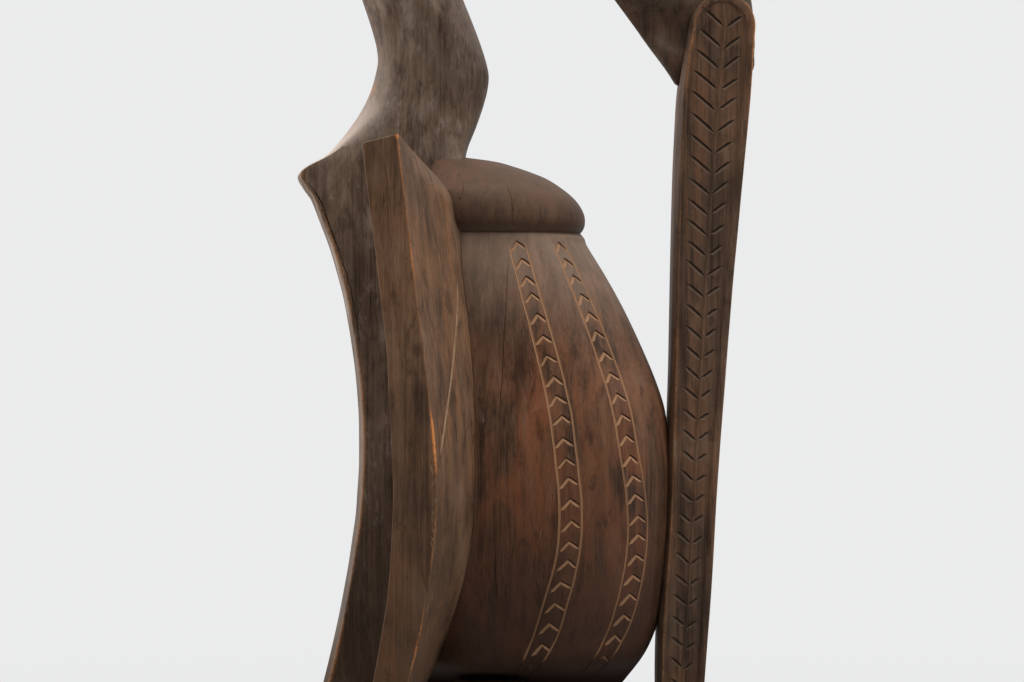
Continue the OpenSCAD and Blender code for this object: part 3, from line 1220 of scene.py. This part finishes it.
    def carve_lines(self, before: BVHTree) -> None:
        """Incises the two border lines of each band.

        Args:
            before: the block's surface.
        """
        for across in (0.0, 1.0):
            gouge = Gouge(before)
            for side in Side:
                for band in BANDS:
                    zs = steps(band.top, band.bottom, 100)
                    path = []
                    for z in zs:
                        point = self.spot(z, band.place(z, across), side)
                        point.x += 0.0004 * waver(point, 0.02, 5)
                        path.append(point)
                    gouge.cut(path, 0.0021, 0.0007, taper=0.03)
            gouge.carve(self.obj)

    def carve_rungs(self, before: BVHTree) -> None:
        """Cuts the rungs of each band, bent upwards in their middle.

        Args:
            before: the block's surface.
        """
        gouge = Gouge(before)
        rand = random.Random(3)
        for side in Side:
            for band in BANDS:
                z = 0.733
                while z > band.bottom + 0.008:
                    self.rung(gouge, z + rand.uniform(-0.001, 0.001), band, side, rand)
                    z -= self.rung_step * rand.uniform(0.95, 1.05) * (1 - 0.2 * smooth(0.66, 0.735, z))
        gouge.carve(self.obj)

    def rung(self, gouge: Gouge, z: float, band: Band, side: Side, rand: random.Random) -> None:
        """Adds one rung.

        Args:
            gouge: the set of cuts that it joins.
            z: height of its apex.
            band: the band that it crosses.
            side: side of the bird.
            rand: draws its unevenness.
        """
        apex = rand.uniform(0.44, 0.56)
        rear_drop, front_drop = 0.0104 * rand.uniform(0.88, 1.1), 0.0066 * rand.uniform(0.85, 1.15)
        path = [self.spot(z - rear_drop * (1 - t), band.place(z, 0.07 + (apex - 0.07) * t), side)
                for t in steps(0, 1, 4)]
        path += [self.spot(z - front_drop * t, band.place(z, apex + (0.93 - apex) * t), side)
                 for t in steps(0.25, 1, 3)]
        gouge.cut(path, 0.0036 * rand.uniform(0.88, 1.12), 0.0014, taper=0.10, lean=0.30)

    def open_cracks(self, before: BVHTree) -> None:
        """Opens the drying cracks that run down through collar and belly.

        Args:
            before: the block's surface.
        """
        gouge = Gouge(before)
        rand = random.Random(8)
        for side in Side:
            for x, drift, top, bottom, width in self.cracks:
                path = []
                for z in steps(top, bottom, 30):
                    share = (top - z) / (top - bottom)
                    place = x + drift * share + rand.uniform(-0.0004, 0.0004)
                    path.append(Vector((place, side.value * (self.half(z) + 0.002), z)))
                gouge.cut(path, width, 0.004)
        gouge.carve(self.obj)


@dataclass
class Beak:
    """The long bar of the beak, with a herringbone panel on each side."""

    rim: float = 0.008
    sink: float = 0.0024
    spine: float = 0.57
    rows: int = 250
    leaf_step: float = 0.0205
    obj: bpy.types.Object | None = None

    def outline(self) -> None:
        """Measures the bar's rear and front edges and its arched top."""
        gauge = Gauge("beak")
        self.half = gauge.high[1]
        y = self.half - 0.0004
        self.low, self.high = gauge.low[2], gauge.high[2]
        zs = steps(self.low + 0.012, 0.950, 34)
        self.rear_curve = curve_through([(z, gauge.rear(z, y)) for z in zs])
        self.front_curve = curve_through([(z, gauge.front(z, y)) for z in zs])
        self.arch_z = 0.950
        self.arch_x = 0.5 * (self.rear_curve(0.95) + self.front_curve(0.95))
        self.arch_r = 0.5 * (self.front_curve(0.95) - self.rear_curve(0.95))

    def edges(self, z: float, inset: float) -> tuple[float, float]:
        """Finds the bar's rear and front edges.

        Args:
            z: height.
            inset: how far they are moved inwards.

        Returns:
            The X of each.
        """
        if z > self.arch_z:
            radius = self.arch_r - inset
            chord = math.sqrt(max(radius ** 2 - (z - self.arch_z) ** 2, 0.0))
            return self.arch_x - chord, self.arch_x + chord
        start = self.low + 0.012
        rear, front = self.rear_curve(z), self.front_curve(z)
        if z < start:
            share = clamp((z - self.low) / 0.012)
            middle = 0.5 * (rear + front)
            swell = math.sqrt(share)
            rear, front = middle + (rear - middle) * swell, middle + (front - middle) * swell
        middle = 0.5 * (rear + front)
        return min(rear + inset, middle), max(front - inset, middle)

    def ring(self, z: float) -> Ring:
        """Draws one cross-section, with the panel's profile in both sides.

        Args:
            z: height.

        Returns:
            The section.
        """
        rear, front = self.edges(z, 0.0)
        inner_rear, inner_front = self.edges(z, self.rim)
        inner_front += 0.0015 * smooth(self.arch_z + 0.01, self.arch_z - 0.02, z)
        width = front - rear
        panel = smooth(0.003, 0.012, inner_front - inner_rear) * smooth(0.196, 0.200, z)
        scale = min(1.0, width / 0.04)
        half = self.half * (0.55 + 0.45 * smooth(self.low, self.low + 0.06, z))
        top = clamp((z - self.arch_z) / self.arch_r)
        half -= 0.004 * (1 - math.sqrt(max(1 - top ** 8, 0.0)))
        chamfer, arris, slope = 0.0045 * scale, 0.0014 * scale, 0.0012 * scale
        sink = self.sink * panel
        start = max(inner_rear, rear + 1.3 * chamfer)
        end = min(inner_front, front - 1.3 * chamfer)
        middle = 0.5 * (rear + front)
        start, end = min(start, middle - 0.1 * width), max(end, middle + 0.1 * width)
        floor_a = start + min(slope * 1.6, 0.2 * (end - start))
        floor_b = end - min(slope * 2.4, 0.2 * (end - start))
        spine = floor_a + self.spine * (floor_b - floor_a)
        rib = min(0.0016, 0.2 * (floor_b - floor_a))
        profile = [(rear, 0.35 * half), (rear, 0.66 * half), (rear + 0.25 * chamfer, half - 1.6 * chamfer),
                   (rear + 0.9 * chamfer, half - 0.5 * arris), (rear + 1.15 * chamfer, half),
                   (start - 0.3 * slope, half), (start, half - 0.12 * sink),
                   (start + 0.45 * (floor_a - start), half - 0.85 * sink), (floor_a, half - sink)]
        for share in (0.25, 0.5, 0.75):
            swell = 0.0005 * math.sin(math.pi * share) * panel
            profile.append((floor_a + (spine - rib - floor_a) * share, half - sink + swell))
        crest = 0.0006 * panel
        profile += [(spine - rib, half - sink), (spine - 0.5 * rib, half - sink + crest),
                    (spine, half - sink + 1.25 * crest), (spine + 0.5 * rib, half - sink + crest),
                    (spine + rib, half - sink)]
        for share in (0.25, 0.5, 0.75):
            swell = 0.0005 * math.sin(math.pi * share) * panel
            profile.append((spine + rib + (floor_b - spine - rib) * share, half - sink + swell))
        profile += [(floor_b, half - sink), (floor_b + 0.5 * (end - floor_b), half - 0.75 * sink),
                    (end, half - 0.1 * sink), (end + 0.4 * (front - end), half), (front - arris, half),
                    (front - 0.3 * arris, half - 0.3 * arris), (front, half - arris), (front, 0.5 * half)]
        ring = [Vector((rear, 0, z))] + [Vector((x, -y, z)) for x, y in profile] + [Vector((front, 0, z))]
        ring += [Vector((x, y, z)) for x, y in reversed(profile)]
        for point in ring:
            sign = 1 if point.y > 0 else -1
            point.x += 0.0005 * (waver(Vector((point.x, 0, z)), 0.07, 9) - clamp((point.x - rear) / width))
            if abs(point.y) > 0.5 * half:
                point.y -= sign * 0.0004 * (0.5 + 0.5 * waver(point, 0.05, 14))
        return ring

    def block(self, name: str) -> bpy.types.Object:
        """Skins the bar, before its fork and its herringbone are cut.

        Args:
            name: name of the solid.

        Returns:
            The solid.
        """
        self.outline()
        arch = [self.arch_z + self.arch_r * math.sin(t) for t in steps(0.0, 0.494 * math.pi, 40)]
        zs = steps(self.low + 0.0006, self.low + 0.03, 14)
        zs += steps(self.low + 0.034, self.arch_z - 0.003, self.rows)
        return skin(name, [self.ring(z) for z in zs + arch])

    def build(self, blank: bpy.types.Object, slot_tool: bpy.types.Object) -> bpy.types.Object:
        """Cuts the fork and the herringbone.

        Args:
            blank: the uncut bar.
            slot_tool: solid that the fork is cut with.

        Returns:
            The finished piece.
        """
        self.obj = blank
        combine(self.obj, slot_tool, "DIFFERENCE")
        before = surface_of(self.obj)
        for half in (-1, 1):
            self.leaves(before, half)

        def rub(point: Vector) -> float:
            """Rubbing along the bar's front arris, most near its top, and along its rear rim.

            Args:
                point: a point of the bar.

            Returns:
                The rubbing there.
            """
            rear, front = self.edges(point.z, 0.0)
            out = math.exp(-(((abs(point.y) - self.half) / 0.0025) ** 2))
            near = math.exp(-(((point.x - front) / 0.0020) ** 2))
            near *= 0.30 + 0.65 * smooth(0.84, 0.92, point.z)
            back = math.exp(-(((point.x - rear - 0.0052) / 0.0012) ** 2)) * 0.40
            return (near + back) * out * clamp(0.75 + 0.6 * waver(point, 0.03, 8))

        weather(self.obj, before, 0.2, rub)
        dress(self.obj, BEAK_WOOD, "dark_wood", "beak")
        return self.obj

    def leaves(self, before: BVHTree, half: int) -> None:
        """Cuts the slanting leaves on one half of both panels, down towards the spine.

        Args:
            before: the bar's surface.
            half: -1 for the half behind the spine, 1 for the half in front.
        """
        gouge = Gouge(before)
        rand = random.Random(20 + half)
        for side in Side:
            z = 0.948
            while z > 0.225:
                rear, front = self.edges(z, self.rim)
                spine = rear + 0.002 + self.spine * (front - rear - 0.004)
                outer = rear + 0.0036 if half < 0 else front - 0.0030
                inner = spine + half * 0.0003
                outer -= half * rand.uniform(-0.0006, 0.0012)
                rise = abs(outer - inner) * (0.84 if half < 0 else 0.70) + rand.uniform(-0.001, 0.001)
                if abs(outer - inner) > 0.005 and z + rise < 0.972:
                    y = side.value * self.half
                    path = [Vector((inner + (outer - inner) * t, y, z + rise * t)) for t in steps(0, 1, 8)]
                    gouge.cut(path, 0.0040, 0.0023, taper=0.26, lean=0.20)
                z -= self.leaf_step * rand.uniform(0.95, 1.05)
        gouge.carve(self.obj)


def turned(name: str, profile: list[tuple[float, float]], x: float, z: float, sign: int,
           cols: int = 48) -> bpy.types.Object:
    """Turns a solid about a line along Y.

    Args:
        name: name of the solid.
        profile: pairs of distance from the middle plane and radius, outwards.
        x: place of the line.
        z: height of the line.
        sign: which side it stands on.
        cols: points round it.

    Returns:
        The solid.
    """
    rings = []
    turns = [math.tau * i / cols for i in range(cols)]
    for y, radius in profile:
        rings.append([Vector((x + radius * math.cos(t), sign * y, z + radius * math.sin(t))) for t in turns])
    return skin(name, rings)


@dataclass
class Head:
    """Skull, throat arch and snout, with the tongue that the beak's fork holds."""

    arch_x: float = 0.018
    arch_z: float = 1.0
    widest: float = 0.069
    eye: tuple[float, float] = (0.002, 1.142)
    cols: int = 110
    rows: int = 190
    obj: bpy.types.Object | None = None

    def build(self, beak_blank: bpy.types.Object, tongue_half: float, tongue_z: float) -> bpy.types.Object:
        """Skins the arch, fits the tongue and carves the face.

        Args:
            beak_blank: the uncut bar of the beak.
            tongue_half: half-thickness of the tongue.
            tongue_z: height of its lower end.

        Returns:
            The finished piece.
        """
        gauge = Gauge("head")
        turns = steps(math.pi - 0.002, -0.62, 36)
        inner, outer, half = [], [], []
        for turn in turns:
            way = Vector((math.cos(turn), 0, math.sin(turn)))
            centre = Vector((self.arch_x, 0, self.arch_z))
            near = gauge.meet(tuple(centre), tuple(way))
            far = gauge.meet(tuple(centre + way * FAR), tuple(-way))
            if near is None or far is None:
                break
            inner.append((-turn, (near - centre).length))
            outer.append((-turn, (far - centre).length))
            middle = centre + way * (0.5 * (inner[-1][1] + outer[-1][1]))
            half.append((-turn, gauge.half(middle.z, middle.x)))
        near_curve, far_curve, half_curve = curve_through(inner), curve_through(outer), curve_through(half)
        rings = []
        for turn in steps(turns[0], -inner[-1][0], self.rows):
            near, far, wide = near_curve(-turn), far_curve(-turn), half_curve(-turn)
            wide = min(wide, self.widest)
            ring = []
            for i in range(self.cols):
                angle = math.tau * i / self.cols
                radius = 0.5 * (near + far) + 0.5 * (far - near) * math.cos(angle)
                x, z = self.arch_x + radius * math.cos(turn), self.arch_z + radius * math.sin(turn)
                point = Vector((x, wide * math.sin(angle), z))
                point.y *= 1 + 0.012 * waver(point, 0.05, 6)
                ring.append(point)
            rings.append(ring)
        self.obj = skin("head_block", rings)
        combine(self.obj, grown(beak_blank, 0.0003), "DIFFERENCE")
        tongue = copy_of(beak_blank, "tongue")
        combine(tongue, slab(tongue_half - 0.0003, tongue_z + 0.0003), "INTERSECT")
        combine(self.obj, tongue, "UNION")
        for side in Side:
            rim = [(0.050, 0.0166), (0.0712, 0.0166), (0.0728, 0.0158), (0.0734, 0.0145), (0.0730, 0.0130),
                   (0.0708, 0.0118), (0.0700, 0.0104), (0.0708, 0.0093), (0.0740, 0.0088), (0.0762, 0.0074),
                   (0.0775, 0.0048), (0.0779, 0.0012)]
            combine(self.obj, turned("eye", rim, self.eye[0], self.eye[1], side.value), "UNION")
        before = surface_of(self.obj)
        self.groove(before, far_curve)
        weather(self.obj, before, 0.25)
        dress(self.obj, HEAD_WOOD, "grey_wood", "head")
        return self.obj

    def groove(self, before: BVHTree, far: Curve) -> None:
        """Cuts two lines that leave a crest standing along the top, and two round the root of the bill.

        Args:
            before: the block's surface.
            far: distance of the block's outer edge from the arch's middle, by turn.
        """
        gouge = Gouge(before)
        for side in Side:
            path = []
            for turn in steps(2.75, 0.42, 70):
                radius = far(-turn) - 0.001
                spread = 0.009 + 0.004 * math.sin(math.pi * (2.75 - turn) / 2.33)
                x, z = self.arch_x + radius * math.cos(turn), self.arch_z + radius * math.sin(turn)
                path.append(Vector((x, side.value * spread, z)))
            gouge.cut(path, 0.0045, 0.0028, taper=0.06)
        gouge.carve(self.obj)
        gouge = Gouge(before)
        for turn in (0.86, 0.80):
            way = Vector((math.cos(turn), 0, math.sin(turn)))
            for side in Side:
                path = []
                for t in steps(0.10, 0.90, 30):
                    radius = 0.045 + (far(-turn) - 0.045) * (1 - t)
                    bulge = side.value * 0.08 * math.sin(math.pi * (0.12 + 0.76 * t))
                    path.append(Vector((self.arch_x, bulge, self.arch_z)) + way * radius)
                gouge.cut(path, 0.0030, 0.0018, taper=0.10)
        gouge.carve(self.obj)


def slab(half: float, low: float) -> bpy.types.Object:
    """Makes a block across the head's tongue.

    Args:
        half: its half-thickness.
        low: height of its lower end.

    Returns:
        The block.
    """
    bpy.ops.object.select_all(action="DESELECT")
    bpy.ops.mesh.primitive_cube_add(size=1, location=(0.3, 0, low + 0.25), scale=(0.5, 2 * half, 0.5))
    obj = bpy.context.object
    bpy.ops.object.transform_apply(location=True, rotation=True, scale=True)
    return obj


@dataclass
class Leg:
    """One short leg with its foot."""

    side: Side
    place: tuple[float, float] = (-0.022, 0.052)
    top: float = 0.3055
    toe_turns: tuple[float, ...] = (-24.0, 0.0, 24.0)
    toe_reach: float = 0.0808
    heel_reach: float = 0.0525
    obj: bpy.types.Object | None = None

    def build(self, floor: float) -> bpy.types.Object:
        """Skins the leg and joins its toes to it.

        Args:
            floor: height of the plinth's top.

        Returns:
            The finished piece.
        """
        node = f"{self.side.name.lower()}_leg"
        x, y = self.place[0], self.side.value * self.place[1]
        profile = curve_through([(0.0, 0.0275), (0.018, 0.0275), (0.034, 0.0245), (0.058, 0.0235),
                                 (0.080, 0.0250), (0.094, 0.0290), (0.099, 0.0275), (0.104, 0.0296),
                                 (0.112, 0.0296), (0.117, 0.0275), (0.122, 0.0290), (0.136, 0.0270),
                                 (0.166, 0.0350), (0.30, 0.0355)])
        rings = []
        for z in steps(floor + 0.0002, self.top, 110):
            ring = []
            for i in range(72):
                turn = math.tau * i / 72
                out = Vector((math.cos(turn), math.sin(turn), 0))
                point = Vector((x, y, z)) + out * profile(z - floor)
                ring.append(point - out * scoop(point, 0.020, 0.0012))
            rings.append(ring)
        self.obj = skin(f"{node}_post", rings)
        for turn in self.toe_turns:
            toe = self.toe(x, y, floor, math.radians(turn * self.side.value), self.toe_reach)
            combine(self.obj, toe, "UNION")
        combine(self.obj, self.toe(x, y, floor, math.pi, self.heel_reach), "UNION")
        weather(self.obj, surface_of(self.obj), 0.5)
        dress(self.obj, BASE_WOOD, "dark_wood", node)
        return self.obj

    def toe(self, x: float, y: float, floor: float, turn: float, reach: float) -> bpy.types.Object:
        """Skins one toe, with two knuckles and a claw.

        Args:
            x: place of the leg's axis.
            y: offset of the leg's axis.
            floor: height of the plinth's top.
            turn: which way the toe points, in radians from straight ahead.
            reach: how far it reaches from the axis.

        Returns:
            The solid.
        """
        width = curve_through([(0.0, 0.0085), (0.40, 0.0086), (0.55, 0.0074), (0.66, 0.0085), (0.80, 0.0068),
                               (0.88, 0.0060), (1.0, 0.0012)])
        height = curve_through([(0.0, 0.0250), (0.35, 0.0225), (0.55, 0.0165), (0.66, 0.0185),
                                (0.80, 0.0120), (0.88, 0.0105), (1.0, 0.0030)])
        way = Vector((math.cos(turn), math.sin(turn), 0))
        across = Vector((-math.sin(turn), math.cos(turn), 0))
        rings = []
        for t in steps(0.02, 1.0, 60):
            ring = []
            for i in range(28):
                angle = math.tau * i / 28
                side_way, rise = bent(math.cos(angle), 0.75), bent(math.sin(angle), 0.8)
                lift = 0.5 * height(t) * (1 + rise)
                middle = Vector((x, y, floor + 0.0002 + lift)) + way * reach * t
                ring.append(middle + across * width(t) * side_way)
            rings.append(ring)
        return skin("toe", rings)


def scoop(point: Vector, size: float, depth: float) -> float:
    """Depth of the shallow facets that a gouge or an adze leaves.

    Args:
        point: a point of the surface.
        size: how wide one facet is.
        depth: how deep the marks go.

    Returns:
        The depth at the point.
    """
    near = noise.voronoi(point / size)[0]
    return depth * clamp(1.1 - (near[1] - near[0]) * 1.6)


@dataclass
class Plinth:
    """The thick rounded block that the figure stands on."""

    corner: float = 0.070
    ease: float = 0.007
    obj: bpy.types.Object | None = None

    def outline(self, inset: float, z: float, count: int = 200) -> Ring:
        """Draws the plinth's rounded outline.

        Args:
            inset: how far it is moved inwards.
            z: height.
            count: number of points.

        Returns:
            The outline.
        """
        low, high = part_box("plinth")
        half_x, half_y = 0.5 * (high[0] - low[0]), 0.5 * (high[1] - low[1])
        corner = self.corner
        arc = math.pi / 2 * corner
        lengths = [half_y * 2 - 2 * corner, arc, half_x * 2 - 2 * corner, arc] * 2
        total, ring = sum(lengths), []
        for i in range(count):
            run, leg = total * i / count, 0
            while run > lengths[leg]:
                run -= lengths[leg]
                leg += 1
            quarter = leg // 2
            base = quarter * math.pi / 2
            wide, deep = (half_x, half_y) if quarter % 2 == 0 else (half_y, half_x)
            if leg % 2 == 0:
                spot, out = Vector((wide, run - deep + corner, 0)), Vector((1, 0, 0))
            else:
                angle = run / corner
                out = Vector((math.cos(angle), math.sin(angle), 0))
                spot = Vector((wide - corner, deep - corner, 0)) + out * corner
            turned_spot = spot - out * min(inset, corner)
            shrink = 1 - max(inset - corner, 0) / (min(half_x, half_y) - corner)
            c, s = math.cos(base), math.sin(base)
            px, py = turned_spot.x * shrink, turned_spot.y * shrink
            ring.append(Vector((px * c - py * s, px * s + py * c, z)))
        return ring

    def build(self) -> bpy.types.Object:
        """Skins the block, eases its arrises and leaves adze marks on it.

        Returns:
            The finished piece.
        """
        low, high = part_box("plinth")
        top, ease = high[2], self.ease
        stack = [(0.004, low[2]), (0.0012, low[2] + 0.0015), (0.0, low[2] + 0.004)]
        stack += [(0.0, z) for z in steps(low[2] + 0.008, top - ease - 0.002, 24)]
        for turn in steps(0.1, math.pi / 2, 6):
            stack.append((ease * (1 - math.cos(turn)), top - ease * (1 - math.sin(turn))))
        stack += [(ease + inset, top) for inset in steps(0.003, 0.118, 38)]
        rings = []
        for inset, z in stack:
            ring = self.outline(inset, z)
            for point in ring:
                mark = scoop(point, 0.030, 0.0016)
                if z >= top - 0.0001:
                    point.z -= mark
                elif z > low[2] + 0.003:
                    out = Vector((point.x / 0.18, point.y / 0.135, 0)).normalized()
                    point -= out * mark
            rings.append(ring)
        self.obj = skin("plinth_block", rings)
        weather(self.obj, surface_of(self.obj), 0.5)
        dress(self.obj, BASE_WOOD, "dark_wood", "plinth")
        return self.obj


# ---------------------------------------------------------------- studio


def make_studio() -> None:
    """Camera, pale floor and soft lights."""
    scene = bpy.context.scene
    scene.view_settings.view_transform = "Standard"
    camera = bpy.data.objects.new("camera", bpy.data.cameras.new("camera"))
    scene.collection.objects.link(camera)
    scene.camera = camera
    camera.location = (0.0, -2.2, 0.639)
    camera.rotation_euler = (math.radians(90), 0, 0)
    camera.data.sensor_width = 36.0
    camera.data.lens = 77.34
    camera.data.clip_end = 50.0
    bpy.ops.object.select_all(action="DESELECT")
    bpy.ops.mesh.primitive_circle_add(vertices=128, radius=1.7, fill_type="NGON", location=(0, 0, 0))
    floor = bpy.context.object
    floor.name = "studio_floor"
    bpy.ops.object.transform_apply(location=True, rotation=True, scale=True)
    paint = bpy.data.materials.new("floor_paint")
    paint.use_nodes = True
    shader = paint.node_tree.nodes["Principled BSDF"]
    shader.inputs["Base Color"].default_value = tint(196, 197, 198)
    shader.inputs["Roughness"].default_value = 0.9
    floor.data.materials.append(paint)
    lamps = (
        ("left_back", (-2.1, 0.6, 1.5), 56.0, 1.5),
        ("right", (2.1, 0.1, 1.5), 24.0, 1.5),
        ("above", (0.3, -0.2, 2.9), 26.0, 1.8),
    )
    for name, place, power, size in lamps:
        light = bpy.data.lights.new(name, "AREA")
        light.energy, light.size = power, size
        lamp = bpy.data.objects.new(name, light)
        lamp.location = place
        lamp.rotation_euler = (Vector((0, 0, 0.7)) - Vector(place)).to_track_quat("-Z", "Y").to_euler()
        scene.collection.objects.link(lamp)
    scene.world = make_sky()


def make_sky() -> bpy.types.World:
    """Makes the surroundings: pale all round, dimmer at the front and below, bright overhead.

    Returns:
        The world.
    """
    world = bpy.data.worlds.new("studio")
    world.use_nodes = True
    nodes, links = world.node_tree.nodes, world.node_tree.links
    place = nodes.new("ShaderNodeTexCoord")
    split = nodes.new("ShaderNodeSeparateXYZ")
    links.new(place.outputs["Generated"], split.inputs[0])

    def fade(axis: str, start: float, end: float, low: float, high: float) -> bpy.types.NodeSocket:
        """Brightness that changes along one axis.

        Args:
            axis: X, Y or Z.
            start: where the change starts.
            end: where it ends.
            low: brightness at the start.
            high: brightness at the end.

        Returns:
            The brightness.
        """
        made = nodes.new("ShaderNodeMapRange")
        made.interpolation_type = "SMOOTHSTEP"
        for key, value in (("From Min", start), ("From Max", end), ("To Min", low), ("To Max", high)):
            made.inputs[key].default_value = value
        links.new(split.outputs[axis], made.inputs["Value"])
        return made.outputs["Result"]

    def total(operation: str, one: bpy.types.NodeSocket,
              two: bpy.types.NodeSocket) -> bpy.types.NodeSocket:
        """Any sum of two brightnesses.

        Args:
            operation: ADD or MULTIPLY.
            one: a brightness.
            two: another.

        Returns:
            The sum.
        """
        made = nodes.new("ShaderNodeMath")
        made.operation = operation
        links.new(one, made.inputs[0])
        links.new(two, made.inputs[1])
        return made.outputs[0]

    around = total("MULTIPLY", fade("Y", -0.95, 0.0, 0.38, 0.83), fade("Z", -0.55, -0.12, 0.2, 1.0))
    strength = total("ADD", around, fade("Z", 0.22, 0.9, 0.0, 0.8))
    links.new(strength, nodes["Background"].inputs["Strength"])
    nodes["Background"].inputs["Color"].default_value = (1.0, 1.004, 1.01, 1)
    return world


# ---------------------------------------------------------------- the whole figure


DOWEL_NODES = ("left_wing_dowels", "right_wing_dowels", "back_dowels", "neck_dowel", "head_dowel",
               "beak_dowels")


def main() -> None:
    """Builds the figure block by block."""
    logging.basicConfig(level=logging.INFO, format="%(message)s")
    make_studio()
    back = BackNeck().build()
    wings = [Wing(side).build() for side in Side]
    trunk = Trunk()
    trunk.build([back] + wings)
    beak = Beak()
    blank = beak.block("beak_bar")
    tongue_half, tongue_z = 0.012, 0.905
    Head().build(blank, tongue_half, tongue_z)
    beak.build(blank, slab(tongue_half, tongue_z))
    for side in Side:
        Leg(side).build(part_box("plinth")[1][2])
    Plinth().build()
    dowel = DOWEL_WOOD.make()
    for node in DOWEL_NODES:
        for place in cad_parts[node].material_slots:
            place.material = dowel


if __name__ == "__main__":
    main()
